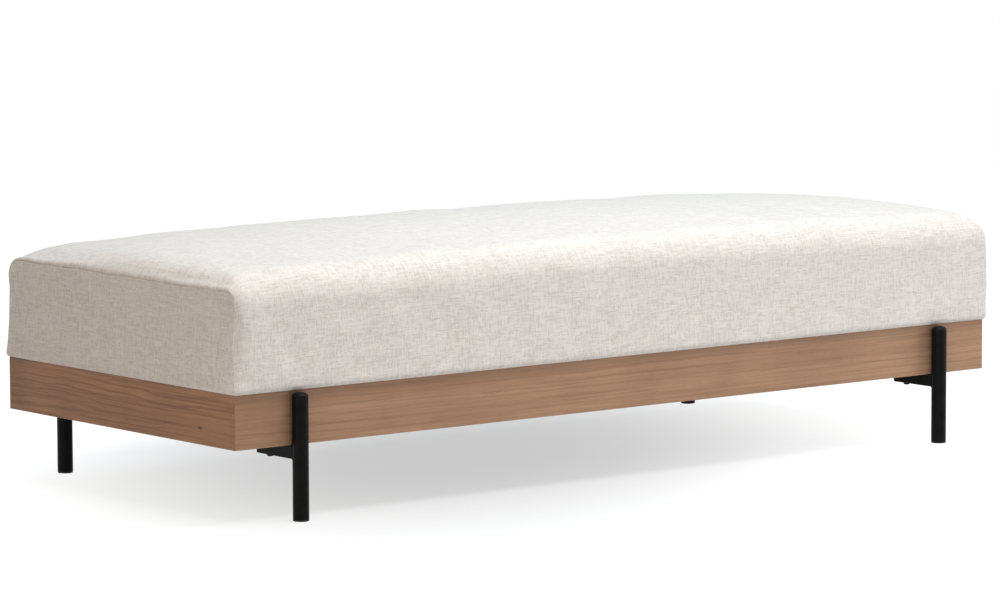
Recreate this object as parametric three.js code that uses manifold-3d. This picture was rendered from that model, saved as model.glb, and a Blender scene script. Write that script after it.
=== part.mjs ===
// A backless divan: an upholstered seat on a mitred box plinth, carried by four
// steel tube legs that stand outside the long boards.
// Millimetres. +X runs along the seat, +Y to its back and +Z up. The origin is on
// the floor under the middle of the seat.

import * as THREE from "three";
import { mergeVertices } from "three/addons/utils/BufferGeometryUtils.js";
import loadManifold from "manifold-3d";

const manifold = await loadManifold();
manifold.setup();

// Clearances
const fitGap = 0.3; // between pieces that are fitted to each other
const layerGap = 0.5; // between two soft layers
const cutOverrun = 1; // how far a cutting tool runs past the face it cuts

// Plinth: four veneered boards, mitred at the corners
const frameLength = 1850;
const frameDepth = 745;
const floorClearance = 138;
const boardHeight = 100;
const boardThickness = 18;

// Blocks glued into the plinth's corners
const blockSide = 50;
const blockHeight = 70;
const blockTopDrop = 1.2; // below the boards' top edge, which leaves room for the dust cover

// Planks across the plinth that the legs' brackets are bolted to
const bearerWidth = 90;
const bearerThickness = 30;

// Legs: round tube, domed and closed at the top, open at the foot
const legDiameter = 30;
const legWall = 2;
const legInset = 134; // from the plinth's end to the leg's axis
const legTopDrop = 1.5; // of the dome's apex below the boards' top edge
const domeRise = 8.5;
const bossDiameter = 14; // threaded boss welded inside the leg for the leg bolt
const bossLength = 10;

// Brackets: square tube welded to the leg, lying under the plinth
const bracketSide = 25;
const bracketWall = 2;
const bracketReach = 105; // from the long board's face to the bracket's inner end
const bracketBoltSetback = 26; // from the bracket's inner end to its bolt

// Plastic glides pressed into the feet of the legs
const glideFlange = 3;
const glidePlugLength = 16;
const glideChamfer = 1;

// Button-head bolts with a hex socket
const boltDiameter = 8;
const boltHeadDiameter = 14;
const boltHeadHeight = 4.4;
const boltTipChamfer = 1;
const socketWidth = 5; // across the flats
const socketDepth = 2.6;
const legBoltDrop = 45; // from the boards' top edge to the bolt that holds the leg
const legBoltTail = 2; // how far the bolt's end stands out of the boss
const seatBoltDiameter = 6;
const seatBoltHeadDiameter = 12;
const seatBoltCounterbore = 30; // depth of the hole that the seat bolt's head is sunk in
const seatBoltGrip = 35; // how far the seat bolt reaches into the rail

// Seat frame of softwood rails, and the webbing on top of it
const railThickness = 40;
const railHeight = 60;
const railSetback = 5; // of the rails' outer faces behind the boards' faces
const crossRailDrop = 15; // of the cross rails' tops below the other rails' tops
const crossRailShare = 1 / 3; // of the half length, from the middle to a cross rail
const strapWidth = 60;
const strapThickness = 2;
const strapEndMargin = 10; // from a strap's end to the rail's outer face
const strapRamp = 26; // length over which a strap climbs or dips at a crossing
const crossStrapCount = 8;
const longStrapCount = 2;
const feltThickness = 3;

// Upholstery. Heights are above the boards' top edge.
const coverThickness = 2;
const waddingThickness = 10;
const seamHeight = 195; // of the seam along the top of each end panel
const seamCornerRadius = 32; // of the end panel's top corners
const seatOverhang = 9; // of the cover past the boards' faces, at its widest
const tuckHeight = 14; // height over which the cover draws in to the boards' edge
const sideDrift = 2; // how far the sides lean in from their widest place up to the seam
const cornerDraw = 5; // how far the seam pulls the long sides in at the corners
const cornerDrawLength = 14;
const endRise = 24; // from the end seam up to the top
const endRoundLength = 92; // length over which the top rounds down to the end seam
const edgeRadius = 66; // of the long top edges, clear of the ends
const crownAlong = 12;
const crownAcross = 8;
const panelBulge = 3; // of the end panels
const comfortSkirt = 13; // straight height at the comfort layer's sides
const hemReach = 8; // of the turned-in hem past the boards' inner faces
const dustCoverThickness = 0.8;
const dustCoverInset = 0.5; // from the boards' inner faces

// Numbers of flats and steps
const tubeFlats = 24;
const boltFlats = 12;
const domeSteps = 4;
const tuckSteps = 4;
const edgeSteps = 5;
const topSteps = 6;
const panelHeightSteps = 4;
const middleSteps = 6;
const endStationShares = [0.05, 0.14, 0.32, 0.62, 1]; // of the end rounding, from the seam
const endEasePower = 2.5;

// Places that follow from the sizes above
const boardTop = floorClearance + boardHeight;
const halfLength = frameLength / 2;
const halfDepth = frameDepth / 2;
const innerHalfLength = halfLength - boardThickness;
const innerHalfDepth = halfDepth - boardThickness;
const legRadius = legDiameter / 2;
const legX = halfLength - legInset;
const legY = halfDepth + fitGap + legRadius;
const bracketBottom = floorClearance - bracketSide;
const bracketEndY = halfDepth - bracketReach;
const seatBoltX = innerHalfLength - blockSide / 2;
const railOuterX = halfLength - railSetback;
const railOuterY = halfDepth - railSetback;
const railInnerX = railOuterX - railThickness;
const railInnerY = railOuterY - railThickness;
const seatBoltY = (railInnerY + innerHalfDepth) / 2;
const railBottom = boardTop + coverThickness;
const railTop = railBottom + railHeight;
const weaveRise = (strapThickness + fitGap) / 2;
const feltBottom = railTop + strapThickness + weaveRise + fitGap;
const feltTop = feltBottom + feltThickness;
const coreTop = boardTop + seamHeight - seamCornerRadius - comfortSkirt;
const seatHalfLength = halfLength + seatOverhang;
const seamInset = coverThickness + layerGap;
const waddingInset = seamInset;
const foamInset = waddingInset + waddingThickness + layerGap;

const sides = { left: -1, right: 1 };
const faces = { front: -1, rear: 1 };

const finishes = {
  veneer: { color: "#a5795c", roughness: 0.55, metalness: 0 },
  beech: { color: "#c8a57c", roughness: 0.7, metalness: 0 },
  softwood: { color: "#d6b98c", roughness: 0.8, metalness: 0 },
  blackSteel: { color: "#17181a", roughness: 0.45, metalness: 0.3 },
  blackPlastic: { color: "#101011", roughness: 0.7, metalness: 0 },
  zincSteel: { color: "#9a9ca0", roughness: 0.4, metalness: 0.9 },
  fabric: { color: "#e4ded5", roughness: 0.95, metalness: 0 },
  wadding: { color: "#f2f2ef", roughness: 1, metalness: 0 },
  foam: { color: "#e9dfb6", roughness: 0.95, metalness: 0 },
  comfortFoam: { color: "#dfe6ea", roughness: 0.95, metalness: 0 },
  felt: { color: "#8d8a86", roughness: 1, metalness: 0 },
  webbing: { color: "#3b3f46", roughness: 0.9, metalness: 0 },
  dustCover: { color: "#161616", roughness: 1, metalness: 0 },
};

const divan = new THREE.Group();

function addPiece(name, geometry, finish) {
  const mesh = new THREE.Mesh(geometry, new THREE.MeshStandardMaterial(finishes[finish]));
  mesh.name = name;
  divan.add(mesh);
  return mesh;
}

// Geometry helpers

// Keeps only positions, joins equal corners and drops triangles without area.
function weld(geometry) {
  const bare = geometry.clone();
  bare.deleteAttribute("normal");
  bare.deleteAttribute("uv");
  const merged = mergeVertices(bare);
  const kept = [];
  const corner = merged.index;
  for (let i = 0; i < corner.count; i += 3) {
    const [a, b, c] = [corner.getX(i), corner.getX(i + 1), corner.getX(i + 2)];
    if (a !== b && b !== c && c !== a) {
      kept.push(a, b, c);
    }
  }
  merged.setIndex(kept);
  return merged;
}

function toSolid(geometry) {
  const welded = weld(geometry);
  const mesh = new manifold.Mesh({
    numProp: 3,
    vertProperties: new Float32Array(welded.attributes.position.array),
    triVerts: new Uint32Array(welded.index.array),
  });
  return new manifold.Manifold(mesh);
}

function fromSolid(solid) {
  const mesh = solid.getMesh();
  const geometry = new THREE.BufferGeometry();
  geometry.setAttribute("position", new THREE.BufferAttribute(mesh.vertProperties, 3));
  geometry.setIndex(new THREE.BufferAttribute(mesh.triVerts, 1));
  geometry.computeVertexNormals();
  return geometry;
}

function cut(body, ...tools) {
  const result = tools.reduce((solid, tool) => solid.subtract(toSolid(tool)), toSolid(body));
  return fromSolid(result);
}

function join(body, ...others) {
  const result = others.reduce((solid, other) => solid.add(toSolid(other)), toSolid(body));
  return fromSolid(result);
}

// A box between two opposite corners, in any order.
function boxBetween(a, b) {
  const size = a.map((value, axis) => Math.abs(b[axis] - value));
  const middle = a.map((value, axis) => (value + b[axis]) / 2);
  return new THREE.BoxGeometry(...size).translate(...middle);
}

// A plan outline in X and Y, extruded upwards from a height.
function prism(outline, bottom, height) {
  const shape = new THREE.Shape(outline.map(([x, y]) => new THREE.Vector2(x, y)));
  const settings = { depth: height, bevelEnabled: false };
  return new THREE.ExtrudeGeometry(shape, settings).translate(0, 0, bottom);
}

function uprightCylinder(radius, x, y, bottom, top, flats) {
  const cylinder = new THREE.CylinderGeometry(radius, radius, top - bottom, flats);
  return cylinder.rotateX(Math.PI / 2).translate(x, y, (bottom + top) / 2);
}

function depthwiseCylinder(radius, x, from, to, z, flats) {
  const cylinder = new THREE.CylinderGeometry(radius, radius, Math.abs(to - from), flats);
  return cylinder.translate(x, (from + to) / 2, z);
}

// A closed body through a row of closed loops with equally many points. Point i of
// a loop lies across from its last point but i, so a strip closes each end. A quad is
// split along its shorter diagonal, so that the layers of a seat fold alike.
function loft(loops) {
  const count = loops[0].length;
  const points = loops.flat();
  const corners = [];
  const apart = (a, b) => Math.hypot(...points[a].map((value, axis) => value - points[b][axis]));
  const quad = (a, b, c, d) => {
    if (c === d) {
      corners.push(a, b, c);
    } else if (apart(a, c) <= apart(b, d)) {
      corners.push(a, b, c, a, c, d);
    } else {
      corners.push(a, b, d, b, c, d);
    }
  };
  for (let row = 0; row < loops.length - 1; row += 1) {
    for (let i = 0; i < count; i += 1) {
      const next = (i + 1) % count;
      const low = row * count;
      const high = low + count;
      quad(low + i, low + next, high + next, high + i);
    }
  }
  const last = (loops.length - 1) * count;
  for (let i = 0; i + 1 < count / 2; i += 1) {
    const across = count - 1 - i;
    quad(i, across, across - 1, i + 1);
    quad(last + across, last + i, last + i + 1, last + across - 1);
  }
  const geometry = new THREE.BufferGeometry();
  geometry.setAttribute("position", new THREE.Float32BufferAttribute(points.flat(), 3));
  geometry.setIndex(corners);
  return facingOut(geometry);
}

// Turns the triangles over where they enclose a negative volume.
function facingOut(geometry) {
  const [a, b, c] = [new THREE.Vector3(), new THREE.Vector3(), new THREE.Vector3()];
  const place = geometry.attributes.position;
  const corner = geometry.index;
  let volume = 0;
  for (let i = 0; i < corner.count; i += 3) {
    a.fromBufferAttribute(place, corner.getX(i));
    b.fromBufferAttribute(place, corner.getX(i + 1));
    c.fromBufferAttribute(place, corner.getX(i + 2));
    volume += a.dot(b.cross(c));
  }
  if (volume < 0) {
    const turned = Array.from(corner.array);
    for (let i = 0; i < turned.length; i += 3) {
      [turned[i + 1], turned[i + 2]] = [turned[i + 2], turned[i + 1]];
    }
    geometry.setIndex(turned);
  }
  geometry.computeVertexNormals();
  return geometry;
}

// Plinth

// A long board with mitred ends and a hole for each of its two leg bolts.
function longBoard(face) {
  const mitre = fitGap / Math.SQRT2;
  const outer = halfLength - mitre;
  const inner = innerHalfLength - mitre;
  const outline = [
    [-outer, face * halfDepth],
    [outer, face * halfDepth],
    [inner, face * innerHalfDepth],
    [-inner, face * innerHalfDepth],
  ];
  const board = prism(outline, floorClearance, boardHeight);
  const holes = Object.values(sides).map((side) =>
    depthwiseCylinder(
      boltDiameter / 2 + fitGap,
      side * legX,
      face * (innerHalfDepth - cutOverrun),
      face * (halfDepth + cutOverrun),
      boardTop - legBoltDrop,
      boltFlats,
    ),
  );
  return cut(board, ...holes);
}

function endBoard(side) {
  const mitre = fitGap / Math.SQRT2;
  const outer = halfDepth - mitre;
  const inner = innerHalfDepth - mitre;
  const outline = [
    [side * halfLength, -outer],
    [side * halfLength, outer],
    [side * innerHalfLength, inner],
    [side * innerHalfLength, -inner],
  ];
  return weld(prism(outline, floorClearance, boardHeight));
}

// A block in a corner of the plinth, bored for the bolt that holds the seat down.
function cornerBlock(side, face) {
  const top = boardTop - blockTopDrop;
  const bottom = top - blockHeight;
  const outerX = side * (innerHalfLength - fitGap);
  const outerY = face * (innerHalfDepth - fitGap);
  const corner = [outerX, outerY, bottom];
  const opposite = [outerX - side * blockSide, outerY - face * blockSide, top];
  const x = side * seatBoltX;
  const y = face * seatBoltY;
  const bore = seatBoltDiameter / 2 + fitGap;
  const sink = seatBoltHeadDiameter / 2 + fitGap;
  return cut(
    boxBetween(corner, opposite),
    uprightCylinder(bore, x, y, bottom - cutOverrun, top + cutOverrun, boltFlats),
    uprightCylinder(sink, x, y, bottom - cutOverrun, bottom + seatBoltCounterbore, boltFlats),
  );
}

// A plank from the front board to the rear board, over a pair of legs' brackets.
function legBearer(side) {
  const x = side * legX;
  const top = floorClearance + bearerThickness;
  const near = [x - bearerWidth / 2, -innerHalfDepth, floorClearance];
  const far = [x + bearerWidth / 2, innerHalfDepth, top];
  const holes = Object.values(faces).map((face) =>
    uprightCylinder(
      boltDiameter / 2 + fitGap,
      x,
      face * (bracketEndY + bracketBoltSetback),
      floorClearance - cutOverrun,
      top + cutOverrun,
      boltFlats,
    ),
  );
  return cut(boxBetween(near, far), ...holes);
}

// Legs

// A tube turned about its own axis: up the outside, over the dome, down the inside.
function legTube() {
  const top = boardTop - legTopDrop;
  const shoulder = top - domeRise;
  const bore = legRadius - legWall;
  const profile = [new THREE.Vector2(0, shoulder - legWall)];
  profile.push(new THREE.Vector2(bore, shoulder - legWall));
  profile.push(new THREE.Vector2(bore, glideFlange));
  profile.push(new THREE.Vector2(legRadius, glideFlange));
  for (let step = 0; step < domeSteps; step += 1) {
    const angle = (step / domeSteps) * (Math.PI / 2);
    const radius = legRadius * Math.cos(angle);
    profile.push(new THREE.Vector2(radius, shoulder + domeRise * Math.sin(angle)));
  }
  profile.push(new THREE.Vector2(0, top));
  return new THREE.LatheGeometry(profile, tubeFlats).rotateX(Math.PI / 2);
}

// A leg against the face of a long board, with the threaded boss for its bolt.
function leg(side, face) {
  const x = side * legX;
  const y = face * legY;
  const z = boardTop - legBoltDrop;
  const tube = legTube().translate(x, y, 0);
  const wallFace = face * (legY - legRadius);
  const bossStart = wallFace + face * (legWall / 2);
  const bossEnd = wallFace + face * (legWall + bossLength);
  const boss = depthwiseCylinder(bossDiameter / 2, x, bossStart, bossEnd, z, boltFlats);
  const boltHole = depthwiseCylinder(
    boltDiameter / 2 + fitGap,
    x,
    wallFace - face * cutOverrun,
    bossEnd + face * cutOverrun,
    z,
    boltFlats,
  );
  return cut(join(tube, boss), boltHole);
}

// A square tube that runs in under the plinth, closed at its inner end and coped to
// the round leg that it is welded to, with a through hole for its bolt.
function legBracket(side, face) {
  const x = side * legX;
  const half = bracketSide / 2;
  const hollow = half - bracketWall;
  const endY = face * bracketEndY;
  const legAxisY = face * legY;
  const boltY = face * (bracketEndY + bracketBoltSetback);
  const outer = boxBetween([x - half, endY, bracketBottom], [x + half, legAxisY, floorClearance]);
  const inner = boxBetween(
    [x - hollow, endY + face * bracketWall, bracketBottom + bracketWall],
    [x + hollow, legAxisY + face * cutOverrun, floorClearance - bracketWall],
  );
  const below = bracketBottom - cutOverrun;
  const above = floorClearance + cutOverrun;
  const cope = uprightCylinder(legRadius + fitGap, x, legAxisY, below, above, tubeFlats);
  const hole = uprightCylinder(boltDiameter / 2 + fitGap, x, boltY, below, above, boltFlats);
  return cut(outer, inner, cope, hole);
}

// A glide with a flange under the tube's end and a plug inside it.
function footGlide(side, face) {
  const plugRadius = legRadius - legWall - fitGap;
  const top = glideFlange + glidePlugLength;
  const profile = [
    new THREE.Vector2(0, 0),
    new THREE.Vector2(legRadius - glideChamfer, 0),
    new THREE.Vector2(legRadius, glideChamfer),
    new THREE.Vector2(legRadius, glideFlange),
    new THREE.Vector2(plugRadius, glideFlange),
    new THREE.Vector2(plugRadius, top - glideChamfer),
    new THREE.Vector2(plugRadius - glideChamfer, top),
    new THREE.Vector2(0, top),
  ];
  const glide = new THREE.LatheGeometry(profile, tubeFlats).rotateX(Math.PI / 2);
  return weld(glide.translate(side * legX, face * legY, 0));
}

// Fasteners

// A button-head bolt along +Z, with the underside of its head at the origin.
function buttonBolt(diameter, headDiameter, length) {
  const shank = diameter / 2;
  const head = headDiameter / 2;
  const crown = Math.SQRT1_2;
  const profile = [
    new THREE.Vector2(0, -boltHeadHeight),
    new THREE.Vector2(head * crown, -boltHeadHeight),
    new THREE.Vector2(head, -boltHeadHeight * (1 - crown)),
    new THREE.Vector2(head, 0),
    new THREE.Vector2(shank, 0),
    new THREE.Vector2(shank, length - boltTipChamfer),
    new THREE.Vector2(shank - boltTipChamfer, length),
    new THREE.Vector2(0, length),
  ];
  const body = new THREE.LatheGeometry(profile, boltFlats).rotateX(Math.PI / 2);
  const socketRadius = socketWidth / Math.sqrt(3);
  const socketFloor = socketDepth - boltHeadHeight;
  const socketMouth = -boltHeadHeight - cutOverrun;
  const socket = uprightCylinder(socketRadius, 0, 0, socketMouth, socketFloor, 6);
  return cut(body, socket);
}

function bracketBolt(side, face) {
  const bolt = buttonBolt(boltDiameter, boltHeadDiameter, bracketSide + bearerThickness);
  const y = face * (bracketEndY + bracketBoltSetback);
  return bolt.translate(side * legX, y, bracketBottom);
}

function legBolt(side, face) {
  const reach = boardThickness + fitGap + legWall + bossLength + legBoltTail;
  const bolt = buttonBolt(boltDiameter, boltHeadDiameter, reach);
  bolt.rotateX((-face * Math.PI) / 2);
  return bolt.translate(side * legX, face * innerHalfDepth, boardTop - legBoltDrop);
}

function seatBolt(side, face) {
  const seat = boardTop - blockTopDrop - blockHeight + seatBoltCounterbore;
  const length = railBottom - seat + seatBoltGrip;
  const bolt = buttonBolt(seatBoltDiameter, seatBoltHeadDiameter, length);
  return bolt.translate(side * seatBoltX, face * seatBoltY, seat);
}

// Seat frame

// A rail along the seat, bored from below for its two seat bolts.
function longRail(face) {
  const near = [-railOuterX, face * railOuterY, railBottom];
  const far = [railOuterX, face * railInnerY, railTop];
  const holeTop = railBottom + seatBoltGrip + fitGap;
  const bore = seatBoltDiameter / 2 + fitGap;
  const holes = Object.values(sides).map((side) => {
    const x = side * seatBoltX;
    return uprightCylinder(bore, x, face * seatBoltY, railBottom - cutOverrun, holeTop, boltFlats);
  });
  return cut(boxBetween(near, far), ...holes);
}

function endRail(side) {
  const near = [side * railOuterX, -railInnerY, railBottom];
  const far = [side * railInnerX, railInnerY, railTop];
  return boxBetween(near, far);
}

// A rail across the seat, set low so that the webbing can give above it.
function crossRail(side) {
  const x = side * railInnerX * crossRailShare;
  const near = [x - railThickness / 2, -railInnerY, railBottom];
  const far = [x + railThickness / 2, railInnerY, railTop - crossRailDrop];
  return boxBetween(near, far);
}

// Webbing, woven over and under

// Middles of a number of straps spread evenly over a width.
function strapPlaces(count, halfSpan) {
  const pitch = (2 * halfSpan) / (count + 1);
  return Array.from({ length: count }, (_, i) => (i + 1) * pitch - halfSpan);
}

const crossStrapPlaces = strapPlaces(crossStrapCount, railInnerX);
const longStrapPlaces = strapPlaces(longStrapCount, railInnerY);

// Heights of a strap's underside along its length. At each crossing it is held level
// over the other strap's width, and a half cosine leads up or down to it.
function strapCourse(halfRun, crossings) {
  const course = [[-halfRun, 0]];
  const flat = strapWidth / 2 + fitGap;
  const rampShares = [1, 0.5, 0];
  for (const { place, over } of crossings) {
    const level = over ? weaveRise : -weaveRise;
    const climb = rampShares.map((share) => [
      flat + share * strapRamp,
      (level * (1 + Math.cos(share * Math.PI))) / 2,
    ]);
    climb.forEach(([distance, height]) => course.push([place - distance, height]));
    climb.reverse().forEach(([distance, height]) => course.push([place + distance, height]));
  }
  course.push([halfRun, 0]);
  return course;
}

// A strap along one direction: place(run, across, height) gives a point of it.
function strap(course, place) {
  const half = strapWidth / 2;
  return loft(
    course.map(([run, height]) => [
      place(run, -half, height),
      place(run, half, height),
      place(run, half, height + strapThickness),
      place(run, -half, height + strapThickness),
    ]),
  );
}

function crossStrap(index) {
  const x = crossStrapPlaces[index];
  const crossings = longStrapPlaces.map((place, j) => ({ place, over: (index + j) % 2 === 0 }));
  const course = strapCourse(railOuterY - strapEndMargin, crossings);
  return strap(course, (run, across, height) => [x + across, run, railTop + height]);
}

function longStrap(index) {
  const y = longStrapPlaces[index];
  const crossings = crossStrapPlaces.map((place, i) => ({ place, over: (index + i) % 2 === 1 }));
  const course = strapCourse(railOuterX - strapEndMargin, crossings);
  return strap(course, (run, across, height) => [run, y + across, railTop + height]);
}

// Upholstery

// The seat's outer face, in heights above the boards' top edge. Every layer is the
// same form, moved in by an inset.

function ease(share, power) {
  const rest = 1 - Math.min(Math.max(share, 0), 1);
  return 1 - rest ** power;
}

// How much of the end rounding is reached at a depth behind the seat's end.
function endEase(depth) {
  return ease((depth - seamInset) / endRoundLength, endEasePower);
}

function leanIn(height) {
  const share = (height - tuckHeight) / (seamHeight - tuckHeight);
  return sideDrift * Math.max(share, 0);
}

// How far the long sides stand past the boards at a height above the tuck.
function sideReach(height, depth) {
  const draw = cornerDraw * (1 - ease((depth - seamInset) / cornerDrawLength, 2));
  return seatOverhang - leanIn(height) - draw;
}

function edgeRounding(depth) {
  return seamCornerRadius + (edgeRadius - seamCornerRadius) * endEase(depth);
}

// Height of the top at its long edges.
function shoulderHeight(depth) {
  const fromMiddle = (seatHalfLength - depth) / (seatHalfLength - seamInset);
  const along = crownAlong * (1 - Math.min(fromMiddle, 1) ** 2);
  return seamHeight + endRise * endEase(depth) + along;
}

// One half of a section across the seat, from the low end of the side up to the
// middle of the top, as [distance from the middle, height].
function halfSection(depth, inset, bottom) {
  const rounding = edgeRounding(depth);
  const shoulder = shoulderHeight(depth);
  const springing = shoulder - rounding;
  const reach = (height) => halfDepth + sideReach(height, depth) - inset;
  const points = [[reach(bottom), bottom]];
  const middle = (bottom + springing) / 2;
  points.push([reach(middle), middle]);
  const flat = reach(springing) - (rounding - inset);
  for (let step = 0; step <= edgeSteps; step += 1) {
    const angle = (step / edgeSteps) * (Math.PI / 2);
    const out = (rounding - inset) * Math.cos(angle);
    points.push([flat + out, springing + (rounding - inset) * Math.sin(angle)]);
  }
  const crown = crownAcross * endEase(depth);
  for (let step = 1; step <= topSteps / 2; step += 1) {
    const share = 1 - step / (topSteps / 2);
    points.push([flat * share, shoulder - inset + crown * (1 - share ** 2)]);
  }
  return points;
}

// The hem that lies on the boards and the quarter ellipse that draws the side in.
function tuckedHem(depth, inset) {
  const reach = sideReach(tuckHeight, depth) - inset;
  const points = [[innerHalfDepth - hemReach, inset]];
  for (let step = 0; step < tuckSteps; step += 1) {
    const angle = (step / tuckSteps) * (Math.PI / 2);
    const rise = (tuckHeight - inset) * Math.cos(angle);
    points.push([halfDepth + reach * Math.sin(angle), tuckHeight - rise]);
  }
  return points;
}

// A whole section, from the front's low end over the top to the rear's.
function section(half) {
  const front = half.map(([distance, height]) => [-distance, height]);
  const rear = half.slice(0, -1).reverse();
  return front.concat(rear);
}

// How far the ends draw in at a height, which fades out along the seat.
function endTuck(height, depth) {
  const below = Math.max(1 - height / tuckHeight, 0);
  const drawn = seatOverhang * (1 - Math.sqrt(1 - below ** 2));
  return drawn * Math.max(1 - (depth - seamInset) / endRoundLength, 0);
}

// Places a section's points at a depth behind one end of the seat.
function atDepth(points, side, depth) {
  return points.map(([y, height]) => {
    const inward = depth + leanIn(height) + endTuck(height, depth);
    return [side * (seatHalfLength - inward), y, boardTop + height];
  });
}

// Stations along the seat from its left end to its right end, as [side, depth].
function stations(firstDepth) {
  const depths = [firstDepth];
  for (const share of endStationShares) {
    const depth = seamInset + share * endRoundLength;
    if (depth > firstDepth + layerGap) {
      depths.push(depth);
    }
  }
  const innermost = depths[depths.length - 1];
  for (let step = 1; step < middleSteps / 2; step += 1) {
    const share = step / (middleSteps / 2);
    depths.push(innermost + share * (seatHalfLength - innermost));
  }
  const left = depths.map((depth) => [sides.left, depth]);
  const right = depths.map((depth) => [sides.right, depth]).reverse();
  return [...left, [sides.right, seatHalfLength], ...right];
}

// The cover over the front, top and rear, with its hem turned in under the seat.
function coverWrap() {
  const fold = (depth, inset) =>
    section([...tuckedHem(depth, inset), ...halfSection(depth, inset, tuckHeight)]);
  return loft(
    stations(seamInset).map(([side, depth]) => {
      const loop = [...fold(depth, 0), ...fold(depth, coverThickness).reverse()];
      return atDepth(loop, side, depth);
    }),
  );
}

function waddingWrap() {
  const skin = (depth, inset) => section(halfSection(depth, inset, tuckHeight));
  const inner = waddingInset + waddingThickness;
  return loft(
    stations(waddingInset).map(([side, depth]) => {
      const loop = [...skin(depth, waddingInset), ...skin(depth, inner).reverse()];
      return atDepth(loop, side, depth);
    }),
  );
}

// Soft foam over the firm core, which gives the seat its crown.
function comfortLayer() {
  const bottom = coreTop - boardTop;
  return loft(
    stations(foamInset).map(([side, depth]) => {
      return atDepth(section(halfSection(depth, foamInset, bottom)), side, depth);
    }),
  );
}

function foamCore() {
  const top = coreTop - boardTop;
  const y = halfDepth + sideReach(top, foamInset) - foamInset;
  const x = seatHalfLength - leanIn(top) - foamInset;
  return boxBetween([-x, -y, feltTop], [x, y, coreTop]);
}

function feltPad() {
  return boxBetween([-railOuterX, -railOuterY, feltBottom], [railOuterX, railOuterY, feltTop]);
}

// The end panel's columns from front to rear, as [distance from the middle, top height].
function panelColumns(inset) {
  const radius = seamCornerRadius - inset;
  const springing = seamHeight - seamCornerRadius;
  const flat = halfDepth + sideReach(springing, seamInset) - seamCornerRadius;
  const half = [];
  for (let step = 0; step <= edgeSteps; step += 1) {
    const angle = (step / edgeSteps) * (Math.PI / 2);
    half.push([flat + radius * Math.cos(angle), springing + radius * Math.sin(angle)]);
  }
  for (let step = 1; step <= topSteps / 2; step += 1) {
    half.push([flat * (1 - step / (topSteps / 2)), springing + radius]);
  }
  return section(half);
}

// A strip of an end piece at one column, from a low edge up to the column's top.
// It follows the long sides at its edges and swells outwards in the middle.
function panelStrip(column, heights, inset, swell) {
  const [columnY, top] = column;
  const springing = seamHeight - seamCornerRadius;
  const edge = halfDepth + sideReach(springing, seamInset) - inset;
  return heights(top).map((height) => {
    const above = Math.max(height, tuckHeight);
    const tuck = Math.max(1 - height / tuckHeight, 0);
    const full = sideReach(Math.min(above, springing), seamInset);
    const reach = halfDepth + full * Math.sqrt(1 - tuck ** 2) - inset;
    const across = columnY / edge;
    const up = (2 * height) / top - 1;
    const bulge = swell * (1 - across ** 2) * (1 - up ** 2);
    return { y: (columnY * reach) / edge, height, bulge };
  });
}

function stripHeights(top) {
  const list = [];
  for (let step = 0; step < tuckSteps; step += 1) {
    list.push(tuckHeight * (1 - Math.cos((step / tuckSteps) * (Math.PI / 2))));
  }
  return [...list, ...upperHeights(top)];
}

function upperHeights(top) {
  const list = [];
  for (let step = 0; step <= panelHeightSteps; step += 1) {
    list.push(tuckHeight + (step / panelHeightSteps) * (top - tuckHeight));
  }
  return list;
}

// A sheet that closes an end of the seat, between two depths behind its end.
function endSheet(side, inset, heights, nearDepth, farDepth, swell) {
  return loft(
    panelColumns(inset).map((column) => {
      const strip = panelStrip(column, heights, inset, swell);
      const place = ({ y, height, bulge }, depth) => {
        const inward = depth + leanIn(height) + endTuck(height, seamInset) - bulge;
        return [side * (seatHalfLength - inward), y, boardTop + height];
      };
      const outer = strip.map((point) => place(point, nearDepth));
      const inner = strip.map((point) => place(point, farDepth)).reverse();
      return [...outer, ...inner];
    }),
  );
}

// An end panel with its own hem, turned in under the end rail between the long hems.
function coverEnd(side) {
  const panel = endSheet(side, 0, stripHeights, 0, coverThickness, panelBulge);
  const hemY = innerHalfDepth - hemReach - layerGap;
  const hemEnd = side * (innerHalfLength - hemReach);
  const hemStart = side * (halfLength - coverThickness / 2);
  const hem = boxBetween([hemEnd, -hemY, boardTop], [hemStart, hemY, boardTop + coverThickness]);
  return join(panel, hem);
}

function waddingEnd(side) {
  const far = waddingInset + waddingThickness;
  return endSheet(side, foamInset, upperHeights, waddingInset, far, 0);
}

// A thin black sheet stapled over the hems under the seat, pierced by the seat bolts.
function dustCover() {
  const x = innerHalfLength - dustCoverInset;
  const y = innerHalfDepth - dustCoverInset;
  const bottom = boardTop - dustCoverThickness;
  const sheet = boxBetween([-x, -y, bottom], [x, y, boardTop]);
  const bore = seatBoltDiameter / 2 + fitGap;
  const holes = Object.values(sides).flatMap((side) =>
    Object.values(faces).map((face) => {
      const [holeX, holeY] = [side * seatBoltX, face * seatBoltY];
      const above = boardTop + cutOverrun;
      return uprightCylinder(bore, holeX, holeY, bottom - cutOverrun, above, boltFlats);
    }),
  );
  return cut(sheet, ...holes);
}

// Assembly

for (const [faceName, face] of Object.entries(faces)) {
  addPiece(`${faceName}_board`, longBoard(face), "veneer");
  addPiece(`seat_${faceName}_rail`, longRail(face), "softwood");
}

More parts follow.
